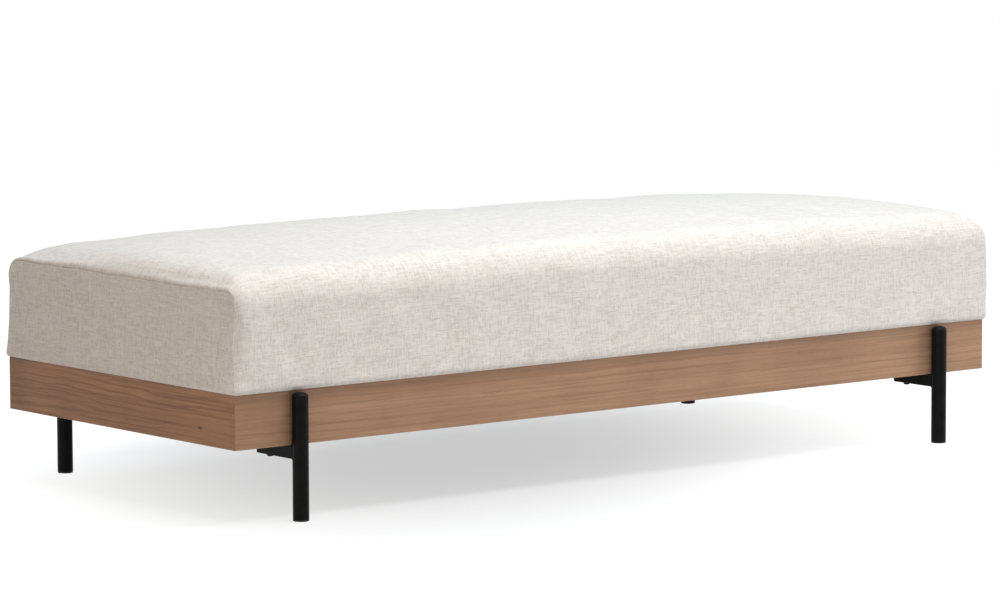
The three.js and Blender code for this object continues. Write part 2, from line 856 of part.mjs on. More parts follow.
for (const [sideName, side] of Object.entries(sides)) {
  addPiece(`${sideName}_end_board`, endBoard(side), "veneer");
  addPiece(`leg_bearer_${sideName}`, legBearer(side), "beech");
  addPiece(`seat_${sideName}_rail`, endRail(side), "softwood");
  addPiece(`seat_cross_rail_${sideName}`, crossRail(side), "softwood");
  for (const [faceName, face] of Object.entries(faces)) {
    const corner = `${faceName}_${sideName}`;
    addPiece(`corner_block_${corner}`, cornerBlock(side, face), "beech");
    addPiece(`leg_${corner}`, leg(side, face), "blackSteel");
    addPiece(`leg_bracket_${corner}`, legBracket(side, face), "blackSteel");
    addPiece(`foot_glide_${corner}`, footGlide(side, face), "blackPlastic");
    addPiece(`bracket_bolt_${corner}`, bracketBolt(side, face), "zincSteel");
    addPiece(`leg_bolt_${corner}`, legBolt(side, face), "zincSteel");
    addPiece(`seat_bolt_${corner}`, seatBolt(side, face), "zincSteel");
  }
  addPiece(`wadding_end_${sideName}`, waddingEnd(side), "wadding");
  addPiece(`cover_end_${sideName}`, coverEnd(side), "fabric");
}

for (let index = 0; index < crossStrapCount; index += 1) {
  addPiece(`cross_strap_${index + 1}`, crossStrap(index), "webbing");
}
for (let index = 0; index < longStrapCount; index += 1) {
  addPiece(`long_strap_${index + 1}`, longStrap(index), "webbing");
}

addPiece("felt_pad", feltPad(), "felt");
addPiece("foam_core", foamCore(), "foam");
addPiece("comfort_layer", comfortLayer(), "comfortFoam");
addPiece("wadding_wrap", waddingWrap(), "wadding");
addPiece("cover_wrap", coverWrap(), "fabric");
addPiece("dust_cover", dustCover(), "dustCover");

export default divan;
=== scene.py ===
# %% [markdown]
# # A backless divan, dressed over its CAD frame
#
# The real divan is a long upholstered seat on a veneered box, carried by four
# black tube legs. The CAD frame already holds every solid in its place, so this
# lesson adds what the eye needs: cloth, grain, soft edges and light. All of it
# is in metres: X runs along the divan, Y from front to rear, Z upwards.

# %% Load the frame
import math
import bpy
import numpy as np
from mathutils import Matrix, Vector


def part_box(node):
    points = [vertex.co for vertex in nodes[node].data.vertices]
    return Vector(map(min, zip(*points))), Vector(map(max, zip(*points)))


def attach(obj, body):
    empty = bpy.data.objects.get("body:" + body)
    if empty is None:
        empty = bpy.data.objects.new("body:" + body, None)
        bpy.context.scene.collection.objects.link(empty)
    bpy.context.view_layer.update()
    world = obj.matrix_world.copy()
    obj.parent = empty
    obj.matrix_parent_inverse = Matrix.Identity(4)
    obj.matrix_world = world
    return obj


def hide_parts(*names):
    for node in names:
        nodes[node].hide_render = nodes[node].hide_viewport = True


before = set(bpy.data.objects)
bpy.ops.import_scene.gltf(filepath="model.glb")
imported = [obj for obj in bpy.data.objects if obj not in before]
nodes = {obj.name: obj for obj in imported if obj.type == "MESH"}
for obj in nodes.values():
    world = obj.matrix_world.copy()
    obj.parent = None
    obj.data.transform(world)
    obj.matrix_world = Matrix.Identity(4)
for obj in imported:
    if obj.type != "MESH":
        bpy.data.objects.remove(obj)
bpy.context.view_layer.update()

MM = 0.001

# %% [markdown]
# ## The camera
#
# A camera could be turned until the view looks right. Here its place and its
# three angles were solved from edges of known length in the photograph, so the
# script only has to build the turn: a forward arrow from yaw and pitch, a level
# arrow beside it, and a small roll about the forward arrow.

# %% Camera
CAMERA_PLACE = Vector((-6.03494, -7.62228, 1.4127))
CAMERA_YAW = math.radians(38.2590)
CAMERA_PITCH = math.radians(6.5217)
CAMERA_ROLL = math.radians(-0.1895)
CAMERA_LENS = 179.205

forward = Vector((
    math.sin(CAMERA_YAW) * math.cos(CAMERA_PITCH),
    math.cos(CAMERA_YAW) * math.cos(CAMERA_PITCH),
    -math.sin(CAMERA_PITCH),
))
level = Vector((math.cos(CAMERA_YAW), -math.sin(CAMERA_YAW), 0))
upright = level.cross(forward)
camera_right = level * math.cos(CAMERA_ROLL) + upright * math.sin(CAMERA_ROLL)
camera_up = upright * math.cos(CAMERA_ROLL) - level * math.sin(CAMERA_ROLL)

camera_data = bpy.data.cameras.new("camera")
camera_data.lens = CAMERA_LENS
camera_data.sensor_width = 36
camera_data.clip_end = 200
camera = bpy.data.objects.new("camera", camera_data)
bpy.context.collection.objects.link(camera)
camera_turn = Matrix((camera_right, camera_up, -forward)).transposed().to_4x4()
camera.matrix_world = Matrix.Translation(CAMERA_PLACE) @ camera_turn
bpy.context.scene.camera = camera
bpy.context.scene.view_settings.view_transform = "Standard"
print("camera", [round(v, 3) for v in camera.location], "lens", camera_data.lens)

# %% [markdown]
# ## A short way to write materials
#
# Every finish is built from nodes, which is long-winded when each node and each
# link is a line. So one small class adds a node to a tree per call and gives
# back the node's output, which lets calls nest like arithmetic. A second class
# starts such a tree for a new material.


# %% Nodes and finishes
class Nodes:
    """A node tree: each method adds a node and returns its output."""

    def __init__(self, tree):
        self.tree = tree

    def feed(self, target, value):
        """Links an output to an input, or sets the input's value."""
        if isinstance(value, bpy.types.NodeSocket):
            self.tree.links.new(value, target)
        elif value is not None:
            target.default_value = value

    def add(self, kind, inputs, output=0, **settings):
        """Adds a node; inputs maps a socket's name or number to a value or an output."""
        made = self.tree.nodes.new(kind)
        for name, value in settings.items():
            setattr(made, name, value)
        for place, value in inputs.items():
            self.feed(made.inputs[place], value)
        return made.outputs[output]

    def calc(self, operation, a, b=None, c=None):
        """One step of arithmetic on numbers."""
        return self.add("ShaderNodeMath", {0: a, 1: b, 2: c}, operation=operation)

    def plus(self, a, b):
        return self.calc("ADD", a, b)

    def minus(self, a, b):
        return self.calc("SUBTRACT", a, b)

    def times(self, a, b):
        return self.calc("MULTIPLY", a, b)

    def hypotenuse(self, a, b):
        return self.calc("SQRT", self.plus(self.times(a, a), self.times(b, b)))

    def seen(self):
        """1 for the rays whose end is looked at: the camera's own, mirrored and passed-through ones."""
        camera_ray, gloss_ray, through_ray = (
            self.add("ShaderNodeLightPath", {}, output=f"Is {kind} Ray")
            for kind in ("Camera", "Glossy", "Transmission"))
        return self.calc("MAXIMUM", self.calc("MAXIMUM", camera_ray, gloss_ray), through_ray)


class Finish(Nodes):
    """A new material; shader settings and sockets are written with _ for a space."""

    def __init__(self, name, **shader_settings):
        self.material = bpy.data.materials.new(name)
        self.material.use_nodes = True
        super().__init__(self.material.node_tree)
        self.set(**shader_settings)

    def set(self, **sockets):
        """Feeds the shader's sockets and gives back the material."""
        for socket, value in sockets.items():
            self.feed(self.tree.nodes["Principled BSDF"].inputs[socket.replace("_", " ")], value)
        return self.material

    def place(self):
        """Object coordinates in metres."""
        return self.add("ShaderNodeTexCoord", {}, output="Object")

    def own_map(self, name):
        """The piece's own UV map, in metres along and across the cloth."""
        return self.add("ShaderNodeUVMap", {}, uv_map=name)

    def split(self, vector):
        """The three numbers of a vector."""
        made = self.tree.nodes.new("ShaderNodeSeparateXYZ")
        self.feed(made.inputs[0], vector)
        return tuple(made.outputs)

    def join(self, x, y, z=0.0):
        """A vector from three numbers."""
        return self.add("ShaderNodeCombineXYZ", {0: x, 1: y, 2: z})

    def scaled(self, parts, factors, shift=None):
        """A vector of three parts times their factors; a shift is added to the third."""
        x, y, z = (self.times(part, factor) for part, factor in zip(parts, factors))
        return self.join(x, y, self.plus(z, shift) if shift else z)

    def noise(self, vector, scale=1.0, detail=2.0, roughness=0.5):
        """Smooth noise from 0 to 1; scale is in cells per metre."""
        inputs = {"Vector": vector, "Scale": scale, "Detail": detail, "Roughness": roughness}
        return self.add("ShaderNodeTexNoise", inputs)

    def step(self, value, low, high, start=0.0, end=1.0):
        """Rises smoothly from start to end as the value goes from low to high."""
        inputs = {"Value": value, 1: low, 2: high, 3: start, 4: end}
        return self.add("ShaderNodeMapRange", inputs, interpolation_type="SMOOTHSTEP")

    def blend(self, share, first, second):
        """From the first colour to the second as the share goes from 0 to 1."""
        return self.add("ShaderNodeMix", {0: share, 6: first, 7: second}, output=2, data_type="RGBA")

    def tint(self, colour, factor):
        """A colour made lighter or darker by a number."""
        colour = colour[:3] if isinstance(colour, tuple) else colour
        return self.add("ShaderNodeVectorMath", {0: colour, "Scale": factor}, operation="SCALE")

    def relief(self, height, distance, strength=1.0):
        """Bump: a height from 0 to 1, worth distance metres."""
        return self.add("ShaderNodeBump", {"Height": height, "Distance": distance, "Strength": strength})


def rgb(red, green, blue):
    """A colour of linear light, with full opacity."""
    return (red, green, blue, 1.0)


print("material helper ready")

# %% [markdown]
# ## Seat fabric
#
# The cover is a plain cream weave of uneven yarns: thin dashes run both ways, pale
# or grey-brown, over a quiet ground, with a few specks. A picture of cloth would
# tile and stretch. Instead each row and each column of the cloth's own map gets a
# number, and noise along that yarn makes it thick or thin, pale or dark, for a few
# centimetres at a time. Weft and warp add up to a cross-hatch, and a slow noise
# lets one or the other lead from place to place.

# %% Seat fabric
YARN_PITCH = 2.2 * MM
WEFT_LENGTH, WARP_LENGTH = 24 * MM, 18 * MM
LANE_SHIFT = 3.731
CLOTH_MAP = "cloth"


def yarn_tone(fabric, across, along, length, seed):
    """A value for each yarn that wanders along it over about one length, and the yarn's number."""
    row = fabric.calc("FLOOR", fabric.calc("DIVIDE", across, YARN_PITCH))
    run = fabric.calc("DIVIDE", along, length)
    place = fabric.join(run, fabric.times(row, LANE_SHIFT), seed)
    return fabric.noise(place, detail=1.5, roughness=0.6), row


def seat_fabric():
    """Cream woven cloth: dashes of weft and warp, specks, woven relief and a pale sheen."""
    fabric = Finish(
        "seat_fabric", Roughness=0.92, Sheen_Weight=0.3, Sheen_Roughness=0.5,
        Sheen_Tint=rgb(0.78, 0.92, 1.0), Specular_IOR_Level=0.18,
    )
    cloth = fabric.own_map(CLOTH_MAP)
    u, v, _ = fabric.split(cloth)
    weft, row = yarn_tone(fabric, v, u, WEFT_LENGTH, 1.5)
    warp, column = yarn_tone(fabric, u, v, WARP_LENGTH, 7.5)
    lead = fabric.noise(cloth, scale=48, detail=1)
    weft_dash = fabric.times(fabric.step(weft, 0.30, 0.70, -0.085, 0.075),
                             fabric.step(lead, 0.36, 0.60, 0.45, 1.0))
    warp_dash = fabric.times(fabric.step(warp, 0.30, 0.70, -0.080, 0.065),
                             fabric.step(lead, 0.40, 0.64, 1.0, 0.40))
    dashes = fabric.plus(weft_dash, warp_dash)
    speck = fabric.add("ShaderNodeTexWhiteNoise", {"Vector": fabric.join(row, column)})
    specks = fabric.minus(fabric.step(speck, 0.965, 0.985, 0.0, 0.07),
                          fabric.step(speck, 0.022, 0.006, 0.0, 0.22))
    tone = fabric.plus(fabric.plus(dashes, specks), 1.0)

    cloud = fabric.step(fabric.noise(cloth, scale=26), 0.36, 0.64)
    base = fabric.blend(cloud, rgb(0.852, 0.786, 0.722), rgb(0.834, 0.778, 0.722))
    colour = fabric.blend(fabric.step(tone, 0.82, 1.0, 0.45, 0.0), fabric.tint(base, tone),
                          rgb(0.690, 0.575, 0.475))
    height = fabric.calc("MULTIPLY_ADD", dashes, 4.0, 0.5)
    return fabric.set(Base_Color=colour, Normal=fabric.relief(height, 0.6 * MM, 0.8))


fabric_finish = seat_fabric()
print("seat fabric:", len(fabric_finish.node_tree.nodes), "nodes")

# %% [markdown]
# ## Veneer
#
# The box is veneered in a light reddish brown wood with its grain lying along
# each board. Real veneer shows growth lines that run nearly straight, fine dark
# pores stretched along the grain, and slow changes of tone. So the pattern
# coordinates are squeezed along the board and stretched across it, and the
# growth lines are a zigzag of the height, bent by slow noise. The left end board
# shows a stronger figure and one small knot: there the lines bow round a point.

# %% Veneer
KNOT = (-262.8 * MM, 168.6 * MM)
KNOT_STRETCH = 2.2
KNOT_REACH = 22 * MM
KNOT_BOW = 4.5 * MM
LINES_PER_METRE = 130.0


def veneer(name, along_x, seed, stain_and_painted_shade=(1.0, 1.0, 1.0), bend=3.0, figure=1.0, knot=None):
    """Wood with its grain along X or Y: growth lines, streaks, pores, tone bands and a satin coat.

    The stain multiplies the colours: slightly, since no two boards are cut from the same flitch,
    and far darker on the left end board, where it is painted shade for that shaded end; bend is
    how many growth lines the slow wandering of the grain spans, and figure is the strength
    of lines and streaks.
    """
    wood = Finish(name, Specular_IOR_Level=0.30)
    x, y, z = wood.split(wood.place())
    along = x if along_x else y
    across = wood.plus(z, wood.times(y if along_x else x, 0.61))
    if knot:
        off_along = wood.calc("DIVIDE", wood.minus(along, knot[0]), KNOT_STRETCH)
        off_up = wood.minus(z, knot[1])
        apart = wood.hypotenuse(off_along, off_up)
        bow = wood.times(wood.step(apart, KNOT_REACH, 2 * MM), wood.calc("SIGN", off_up))
        across = wood.minus(across, wood.times(bow, KNOT_BOW))

    def stretched(per_metre_along, per_metre_across, shift, detail=2.0, roughness=0.5):
        """Noise drawn out along the grain."""
        place = wood.join(wood.times(along, per_metre_along), wood.times(across, per_metre_across),
                          seed + shift)
        return wood.noise(place, detail=detail, roughness=roughness)

    slow = wood.times(stretched(1.3, 7.0, 0), 2 * bend)
    wander = wood.times(stretched(6.0, 30.0, 4, detail=3), 0.5 * bend)
    bent = wood.plus(wood.times(across, LINES_PER_METRE), wood.plus(slow, wander))
    late_wood = wood.step(wood.calc("PINGPONG", bent, 1.0), 0.45, 1.0)
    line_strength = wood.step(stretched(2.0, 20.0, 27), 0.35, 0.65, 0.08 * figure, 0.5 * figure)

    streak = stretched(3.5, 240.0, 17, detail=4, roughness=0.65)
    fibre = stretched(11.0, 700.0, 9, detail=3, roughness=0.7)
    pores = wood.step(stretched(55.0, 950.0, 13, roughness=0.6), 0.60, 0.72)
    bands = wood.step(stretched(0.9, 30.0, 21), 0.34, 0.66)
    shimmer = stretched(5.0, 3.0, 35)

    colour = wood.blend(bands, rgb(0.505, 0.304, 0.186), rgb(0.435, 0.253, 0.151))
    layers = [
        (wood.times(late_wood, line_strength), rgb(0.315, 0.171, 0.098)),
        (wood.step(streak, 0.44, 0.72, 0.0, 0.62 * figure), rgb(0.300, 0.160, 0.094)),
        (wood.step(fibre, 0.42, 0.70, 0.0, 0.36), rgb(0.275, 0.146, 0.086)),
        (wood.times(pores, 0.42), rgb(0.150, 0.078, 0.046)),
    ]
    if knot:
        layers.append((wood.step(apart, 4.2 * MM, 1.6 * MM, 0.0, 0.85), rgb(0.085, 0.040, 0.024)))
    for share, darker in layers:
        colour = wood.blend(share, colour, darker)
    colour = wood.tint(colour, wood.step(shimmer, 0.3, 0.7, 1 - 0.07 * figure, 1 + 0.07 * figure))
    # The stain: a slight real tone for most boards, and painted shade that darkens the left end board.
    colour = wood.add("ShaderNodeVectorMath", {0: colour, 1: stain_and_painted_shade}, operation="MULTIPLY")

    grain_height = wood.minus(wood.times(fibre, 0.4), pores)
    return wood.set(Base_Color=colour, Roughness=wood.step(fibre, 0.3, 0.7, 0.38, 0.50),
                    Normal=wood.relief(grain_height, 0.12 * MM, 0.5))


front_veneer = veneer("veneer_front", True, 2.0, (0.99, 0.96, 0.94))
rear_veneer = veneer("veneer_rear", True, 31.0)
# The left end board's stain is partly its own warmer hue and partly painted shade, darkening that end in
# shade.
left_veneer = veneer("veneer_left_end_painted_shade", False, 12.4, (0.80, 0.685, 0.555), 7.0, 1.9, KNOT)
right_veneer = veneer("veneer_right_end", False, 47.0)
print("veneer:", len(left_veneer.node_tree.nodes), "nodes at the knot's end")

# %% [markdown]
# ## Powder-coated steel, plastic and zinc
#
# The legs and their brackets are steel tube with a black powder coat, which
# melts into a skin with a faint orange-peel ripple and a soft gloss. The glides
# are moulded black plastic with a finer, duller grain. The bolts inside the box
# are zinc plated: a metal whose small crystals differ a little in tone and gloss.


# %% Metals and plastic
def powder_coat():
    """Near-black coating with a fine ripple and slightly uneven gloss."""
    coat = Finish("black_powder_coat", Specular_IOR_Level=0.07)
    ripple = coat.noise(coat.place(), scale=900)
    drift = coat.step(coat.noise(coat.place(), scale=60), 0.3, 0.7)
    colour = coat.blend(drift, rgb(0.0050, 0.0048, 0.0048), rgb(0.0075, 0.0070, 0.0070))
    return coat.set(Base_Color=colour, Roughness=coat.step(ripple, 0.25, 0.75, 0.34, 0.48),
                    Normal=coat.relief(ripple, 0.05 * MM, 0.5))


def moulded_plastic():
    """Matt black plastic with a spark-eroded grain."""
    plastic = Finish("moulded_plastic", Specular_IOR_Level=0.3)
    grain = plastic.noise(plastic.place(), scale=1600, detail=3)
    colour = plastic.blend(grain, rgb(0.012, 0.012, 0.012), rgb(0.024, 0.024, 0.025))
    return plastic.set(Base_Color=colour, Roughness=plastic.step(grain, 0.3, 0.7, 0.45, 0.65),
                       Normal=plastic.relief(grain, 0.04 * MM, 0.6))


def zinc_plate():
    """Bright zinc with faint crystals and tool lines."""
    zinc = Finish("zinc_plate", Metallic=1.0)
    crystals = zinc.add("ShaderNodeTexVoronoi", {"Vector": zinc.place(), "Scale": 420.0}, output=1)
    haze = zinc.noise(zinc.place(), scale=150, detail=4)
    colour = zinc.blend(zinc.split(crystals)[0], rgb(0.52, 0.53, 0.55), rgb(0.66, 0.67, 0.68))
    return zinc.set(Base_Color=colour, Roughness=zinc.step(haze, 0.3, 0.7, 0.24, 0.42),
                    Normal=zinc.relief(haze, 0.03 * MM, 0.4))


black_coat, black_plastic, zinc_finish = powder_coat(), moulded_plastic(), zinc_plate()
print("hard finishes:", [m.name for m in (black_coat, black_plastic, zinc_finish)])

# %% [markdown]
# ## Timber and stuffing inside
#
# The planks and blocks under the seat are beech, which has short dark flecks,
# and the seat frame is softwood with wide soft bands. The stuffing is felt,
# foam, wadding and elastic webbing. They are hardly seen, but a part that is
# turned over or taken to pieces should still show what it is made of.

# %% Timber inside
BEECH = {"pale": rgb(0.60, 0.39, 0.25), "deep": rgb(0.50, 0.30, 0.18), "bands_per_metre": 60, "fleck": 0.6}
PINE = {"pale": rgb(0.72, 0.52, 0.31), "deep": rgb(0.58, 0.35, 0.16), "bands_per_metre": 110, "fleck": 0.25}
ALONG_X, ALONG_Y, ALONG_Z = 0, 1, 2


def plain_timber(name, grain_axis, pale, deep, bands_per_metre, fleck):
    """Sawn timber with growth bands along one axis and flecks along the grain."""
    timber = Finish(name, Roughness=0.62, Specular_IOR_Level=0.25)
    parts = list(timber.split(timber.place()))
    parts.insert(0, parts.pop(grain_axis))
    slow = timber.noise(timber.scaled(parts, (1.8, 12.0, 12.0)))
    streak = timber.noise(timber.scaled(parts, (30.0, 700.0, 700.0)), detail=3)
    bands = timber.times(timber.plus(parts[1], parts[2]), bands_per_metre)
    ring = timber.calc("PINGPONG", timber.plus(bands, timber.times(slow, 7.0)), 1.0)
    colour = timber.blend(timber.step(ring, 0.35, 0.95, 0.0, 0.8), pale, deep)
    colour = timber.blend(timber.step(streak, 0.55, 0.70, 0.0, fleck), colour, timber.tint(deep, 0.55))
    return timber.set(Base_Color=colour, Normal=timber.relief(streak, 0.1 * MM, 0.5))


beech_y = plain_timber("beech_along_y", ALONG_Y, **BEECH)
beech_z = plain_timber("beech_along_z", ALONG_Z, **BEECH)
pine_x = plain_timber("pine_along_x", ALONG_X, **PINE)
pine_y = plain_timber("pine_along_y", ALONG_Y, **PINE)
print("timber:", [m.name for m in (beech_y, beech_z, pine_x, pine_y)])


# %% Stuffing
def foam(name, pale, deep, cells_per_metre):
    """Open-cell foam: small pits of uneven size."""
    made = Finish(name, Roughness=0.95, Specular_IOR_Level=0.1)
    pits = made.add("ShaderNodeTexVoronoi", {"Vector": made.place(), "Scale": cells_per_metre})
    patches = made.blend(made.noise(made.place(), scale=14), pale, deep)
    colour = made.blend(made.step(pits, 0.1, 0.6), made.tint(deep, 0.8), patches)
    return made.set(Base_Color=colour, Normal=made.relief(pits, 0.5 * MM, 0.7))


def fibres(name, pale, deep, thickness, seed):
    """Matted fibres: two fine noises stretched across each other."""
    made = Finish(name, Roughness=0.95, Specular_IOR_Level=0.1, Sheen_Weight=0.3)
    parts = made.split(made.place())
    fine, drawn_out, half = 1.0 / thickness, 0.12 / thickness, 0.5 / thickness
    first = made.noise(made.scaled(parts, (fine, drawn_out, half), seed), detail=3)
    second = made.noise(made.scaled(parts, (drawn_out, fine, half), seed + 5), detail=3)
    mat = made.calc("MAXIMUM", first, second)
    colour = made.blend(made.step(mat, 0.40, 0.72), deep, pale)
    return made.set(Base_Color=colour, Normal=made.relief(mat, 0.6 * MM, 0.7))


def webbing(name, runs_along_x):
    """Elastic webbing: a herringbone of thick ribs, with a fine fuzz on it."""
    made = Finish(name, Roughness=0.8, Specular_IOR_Level=0.2)
    x, y, _ = made.split(made.place())
    along, across = (x, y) if runs_along_x else (y, x)
    zig = made.plus(along, made.calc("PINGPONG", across, 5 * MM))
    rib = made.calc("SINE", made.times(zig, 2 * math.pi / (2.6 * MM)))
    fuzz = made.noise(made.place(), scale=1200, detail=3)
    height = made.plus(made.times(rib, 0.5), made.times(fuzz, 0.5))
    colour = made.blend(made.step(height, -0.3, 0.8), rgb(0.018, 0.018, 0.020), rgb(0.085, 0.083, 0.080))
    return made.set(Base_Color=colour, Normal=made.relief(height, 0.5 * MM, 0.8))


soft_foam = foam("soft_foam", rgb(0.80, 0.76, 0.62), rgb(0.72, 0.66, 0.48), 900)
firm_foam = foam("firm_foam", rgb(0.62, 0.70, 0.76), rgb(0.50, 0.60, 0.68), 1200)
wadding_finish = fibres("wadding", rgb(0.88, 0.88, 0.86), rgb(0.70, 0.70, 0.68), 1.2 * MM, 2.0)
felt_finish = fibres("felt", rgb(0.36, 0.34, 0.33), rgb(0.14, 0.13, 0.13), 0.8 * MM, 8.0)
webbing_x = webbing("webbing_long", True)
webbing_y = webbing("webbing_cross", False)
print("stuffing:", [m.name for m in (soft_foam, firm_foam, wadding_finish, felt_finish)])

# %% [markdown]
# ## Surfaces from arrays
#
# The new pieces are surfaces: a grid of points worked out by numpy from two
# parameters. One helper numbers the four-sided faces between the points, and
# another puts points, faces and an optional cloth map into a mesh. A third
# closes a row of rings with two caps, which makes a solid of any profile that
# is turned or carried along a path. A last one joins a piece to the frame.


# %% Mesh helpers
def grid_faces(rows, columns, closed=False):
    """Faces of a grid of rows by columns points; closed joins the last column to the first."""
    row = np.arange(rows - 1)[:, None] * columns
    column = np.arange(columns if closed else columns - 1)[None, :]
    after = (column + 1) % columns
    corners = [row + column, row + after, row + columns + after, row + columns + column]
    return np.stack(corners, axis=-1).reshape(-1, 4)


def enclosed_volume(points, polygons):
    """Signed volume of a closed mesh: the sum over faces of tetrahedra from the origin."""
    total = 0.0
    for corner in range(1, polygons.shape[1] - 1):
        a, b, c = points[polygons[:, 0]], points[polygons[:, corner]], points[polygons[:, corner + 1]]
        total += np.einsum("ij,ij->i", a, np.cross(b, c)).sum() / 6
    return total


def make_piece(name, points, faces, material, smooth=True, cloth_map=None):
    """A mesh object at the origin from points (n by 3) and faces; cloth_map is a UV per point."""
    mesh = bpy.data.meshes.new(name)
    mesh.from_pydata(points.tolist(), [], faces if isinstance(faces, list) else faces.tolist())
    if cloth_map is not None:
        layer = mesh.uv_layers.new(name=CLOTH_MAP)
        corners = np.empty(len(mesh.loops), dtype=np.int32)
        mesh.loops.foreach_get("vertex_index", corners)
        layer.data.foreach_set("uv", cloth_map[corners].ravel())
    mesh.polygons.foreach_set("use_smooth", np.full(len(mesh.polygons), smooth))
    mesh.materials.append(material)
    mesh.update()
    piece = bpy.data.objects.new(name, mesh)
    bpy.context.collection.objects.link(piece)
    return piece


def carried(name, rings, material, smooth=True):
    """A solid from an array of rings of points: faces between the rings and a cap on each end.

    The sign of the volume says whether the faces point inwards, and then all are turned round.
    """
    count, points = rings.shape[1], rings.reshape(-1, 3)
    faces = grid_faces(len(rings), count, closed=True)
    caps = [list(range(count))[::-1], list(range(len(points) - count, len(points)))]
    volume = enclosed_volume(points, faces) + sum(enclosed_volume(points, np.array([c])) for c in caps)
    polygons = faces.tolist() + caps
    if volume < 0:
        polygons = [corners[::-1] for corners in polygons]
    return make_piece(name, points, polygons, material, smooth)


def stand_for(piece, node):
    """The piece rides on the divan's one body and replaces a CAD node, which it hides."""
    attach(piece, "root")
    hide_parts(node)


print("mesh helpers ready")

# %% [markdown]
# ## The boards of the box
#
# Four boards are mitred at the corners, so the grain of two faces meets on one
# crisp line. A scaled cube would have razor edges that never catch light. Here
# a rectangle with small round corners is carried along each board, and at both
# ends every point stops on the 45 degree plane of the mitre. Near that plane
# the outer face bends by a hair, which gives the corner its fine arris.

# %% Boards
BOARD_BOTTOM, BOARD_TOP = (corner.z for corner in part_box("front_board"))
HALF_LENGTH = -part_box("left_end_board")[0].x
HALF_DEPTH = -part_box("front_board")[0].y
BOARD_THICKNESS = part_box("left_end_board")[1].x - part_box("left_end_board")[0].x
ARRIS = 0.7 * MM
MITRE_GAP = 0.05 * MM


def rounded_rectangle(width, height, radius, steps=3):
    """Points round a rectangle centred on the origin whose corners are quarter circles."""
    turn = np.linspace(0, math.pi / 2, steps + 1)
    corners = []
    for quarter, (sx, sy) in enumerate(((1, 1), (-1, 1), (-1, -1), (1, -1))):
        angle = turn + quarter * math.pi / 2
        corners.append(np.stack(
            [sx * (width / 2 - radius) + radius * np.cos(angle),
             sy * (height / 2 - radius) + radius * np.sin(angle)], axis=-1))
    return np.concatenate(corners)


def mitred_board(name, half_run, face_at, quarters, material):
    """A board whose section is carried from mitre to mitre, then turned by quarters about Z.

    Before the turn it runs along X with its outer face at Y = face_at; a point that lies
    some depth inside that face stops the same depth short of half_run, which is the mitre.
    """
    section = rounded_rectangle(BOARD_THICKNESS, BOARD_TOP - BOARD_BOTTOM, ARRIS)
    depth_in = BOARD_THICKNESS / 2 + section[:, 0]
    up = (BOARD_BOTTOM + BOARD_TOP) / 2 + section[:, 1]
    bend = np.radians([0.0, 15.0, 30.0, 45.0])[:, None]
    before_mitre = ARRIS * (math.sin(math.pi / 4) - np.sin(bend))
    drawn_in = ARRIS * (1 - np.cos(bend)) * np.clip(1 - depth_in / ARRIS, 0, 1)
    run_ends = half_run - MITRE_GAP - depth_in - before_mitre - drawn_in
    depths = depth_in + drawn_in
    run = np.concatenate([-run_ends[::-1], run_ends])
    depth = np.concatenate([depths[::-1], depths])
    rings = np.stack([run, face_at - depth, np.broadcast_to(up, run.shape)], axis=-1)
    cos, sin = round(math.cos(quarters * math.pi / 2)), round(math.sin(quarters * math.pi / 2))
    turn = np.array([[cos, sin, 0], [-sin, cos, 0], [0, 0, 1]])
    return carried(name, rings @ turn, material, smooth=False)


boards = {
    "front_board": mitred_board("veneered_front", HALF_LENGTH, HALF_DEPTH, 2, front_veneer),
    "rear_board": mitred_board("veneered_rear", HALF_LENGTH, HALF_DEPTH, 0, rear_veneer),
    "left_end_board": mitred_board("veneered_left_end", HALF_DEPTH, HALF_LENGTH, 1, left_veneer),
    "right_end_board": mitred_board("veneered_right_end", HALF_DEPTH, HALF_LENGTH, 3, right_veneer),
}
for node, piece in boards.items():
    stand_for(piece, node)
    low, high = np.array(piece.bound_box)[0], np.array(piece.bound_box)[6]
    print(piece.name, (low * 1000).round(1), (high * 1000).round(1), "mm")

# %% [markdown]
# ## Legs and brackets
#
# A leg is a steel tube closed by a pressed dome, and a square tube welded to it
# runs in under the box. A lathe profile makes the leg, because it is round all
# the way. The bracket is a rounded square carried along a straight line, closed
# at its inner end, and a small welded fillet joins it to the leg.

# %% Legs
CORNERS = ("front_left", "front_right", "rear_left", "rear_right")
LEG_RADIUS = 15 * MM
LEG_FOOT, LEG_TOP = (corner.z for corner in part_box("leg_front_left"))
DOME_RISE = 8.5 * MM
TUBE_WALL = 2 * MM
TUBE_EDGE = 0.6 * MM
PLUG_TOP = 19.5 * MM
POLE = 0.4 * MM
SHAFT_RINGS = np.array([2, 60, 140, 200, 222]) * MM


def leg_profile():
    """Radius and height from the plug's top, down the bore, round the foot and up over the dome."""
    bore = LEG_RADIUS - TUBE_WALL
    inside = [(POLE, PLUG_TOP), (bore, PLUG_TOP), (bore, LEG_FOOT)]
    foot = [(LEG_RADIUS - TUBE_EDGE * (1 - math.sin(t)), LEG_FOOT + TUBE_EDGE * (1 - math.cos(t)))
            for t in np.radians([0, 30, 60, 90])]
    shaft = [(LEG_RADIUS, LEG_FOOT + h) for h in SHAFT_RINGS]
    dome = [(LEG_RADIUS * math.cos(t), LEG_TOP - DOME_RISE * (1 - math.sin(t)))
            for t in np.linspace(0, math.pi / 2, 14)[:-1]]
    return inside + foot + shaft + dome + [(POLE, LEG_TOP)]


def turned(name, profile, centre, material, segments=64):
    """A lathe: each (radius, height) of the profile goes once round a vertical axis through centre."""
    angle = np.arange(segments) * 2 * math.pi / segments
    radius, height = np.asarray(profile).T[:, :, None]
    x, y = centre[0] + radius * np.cos(angle), centre[1] + radius * np.sin(angle)
    return carried(name, np.stack(np.broadcast_arrays(x, y, height), axis=-1), material)


for corner in CORNERS:
    low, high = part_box(f"leg_{corner}")
    leg = turned(f"tube_leg_{corner}", leg_profile(), (low + high) / 2, black_coat)
    stand_for(leg, f"leg_{corner}")
print("legs from", round(LEG_FOOT * 1000, 1), "to", round(LEG_TOP * 1000, 1), "mm")

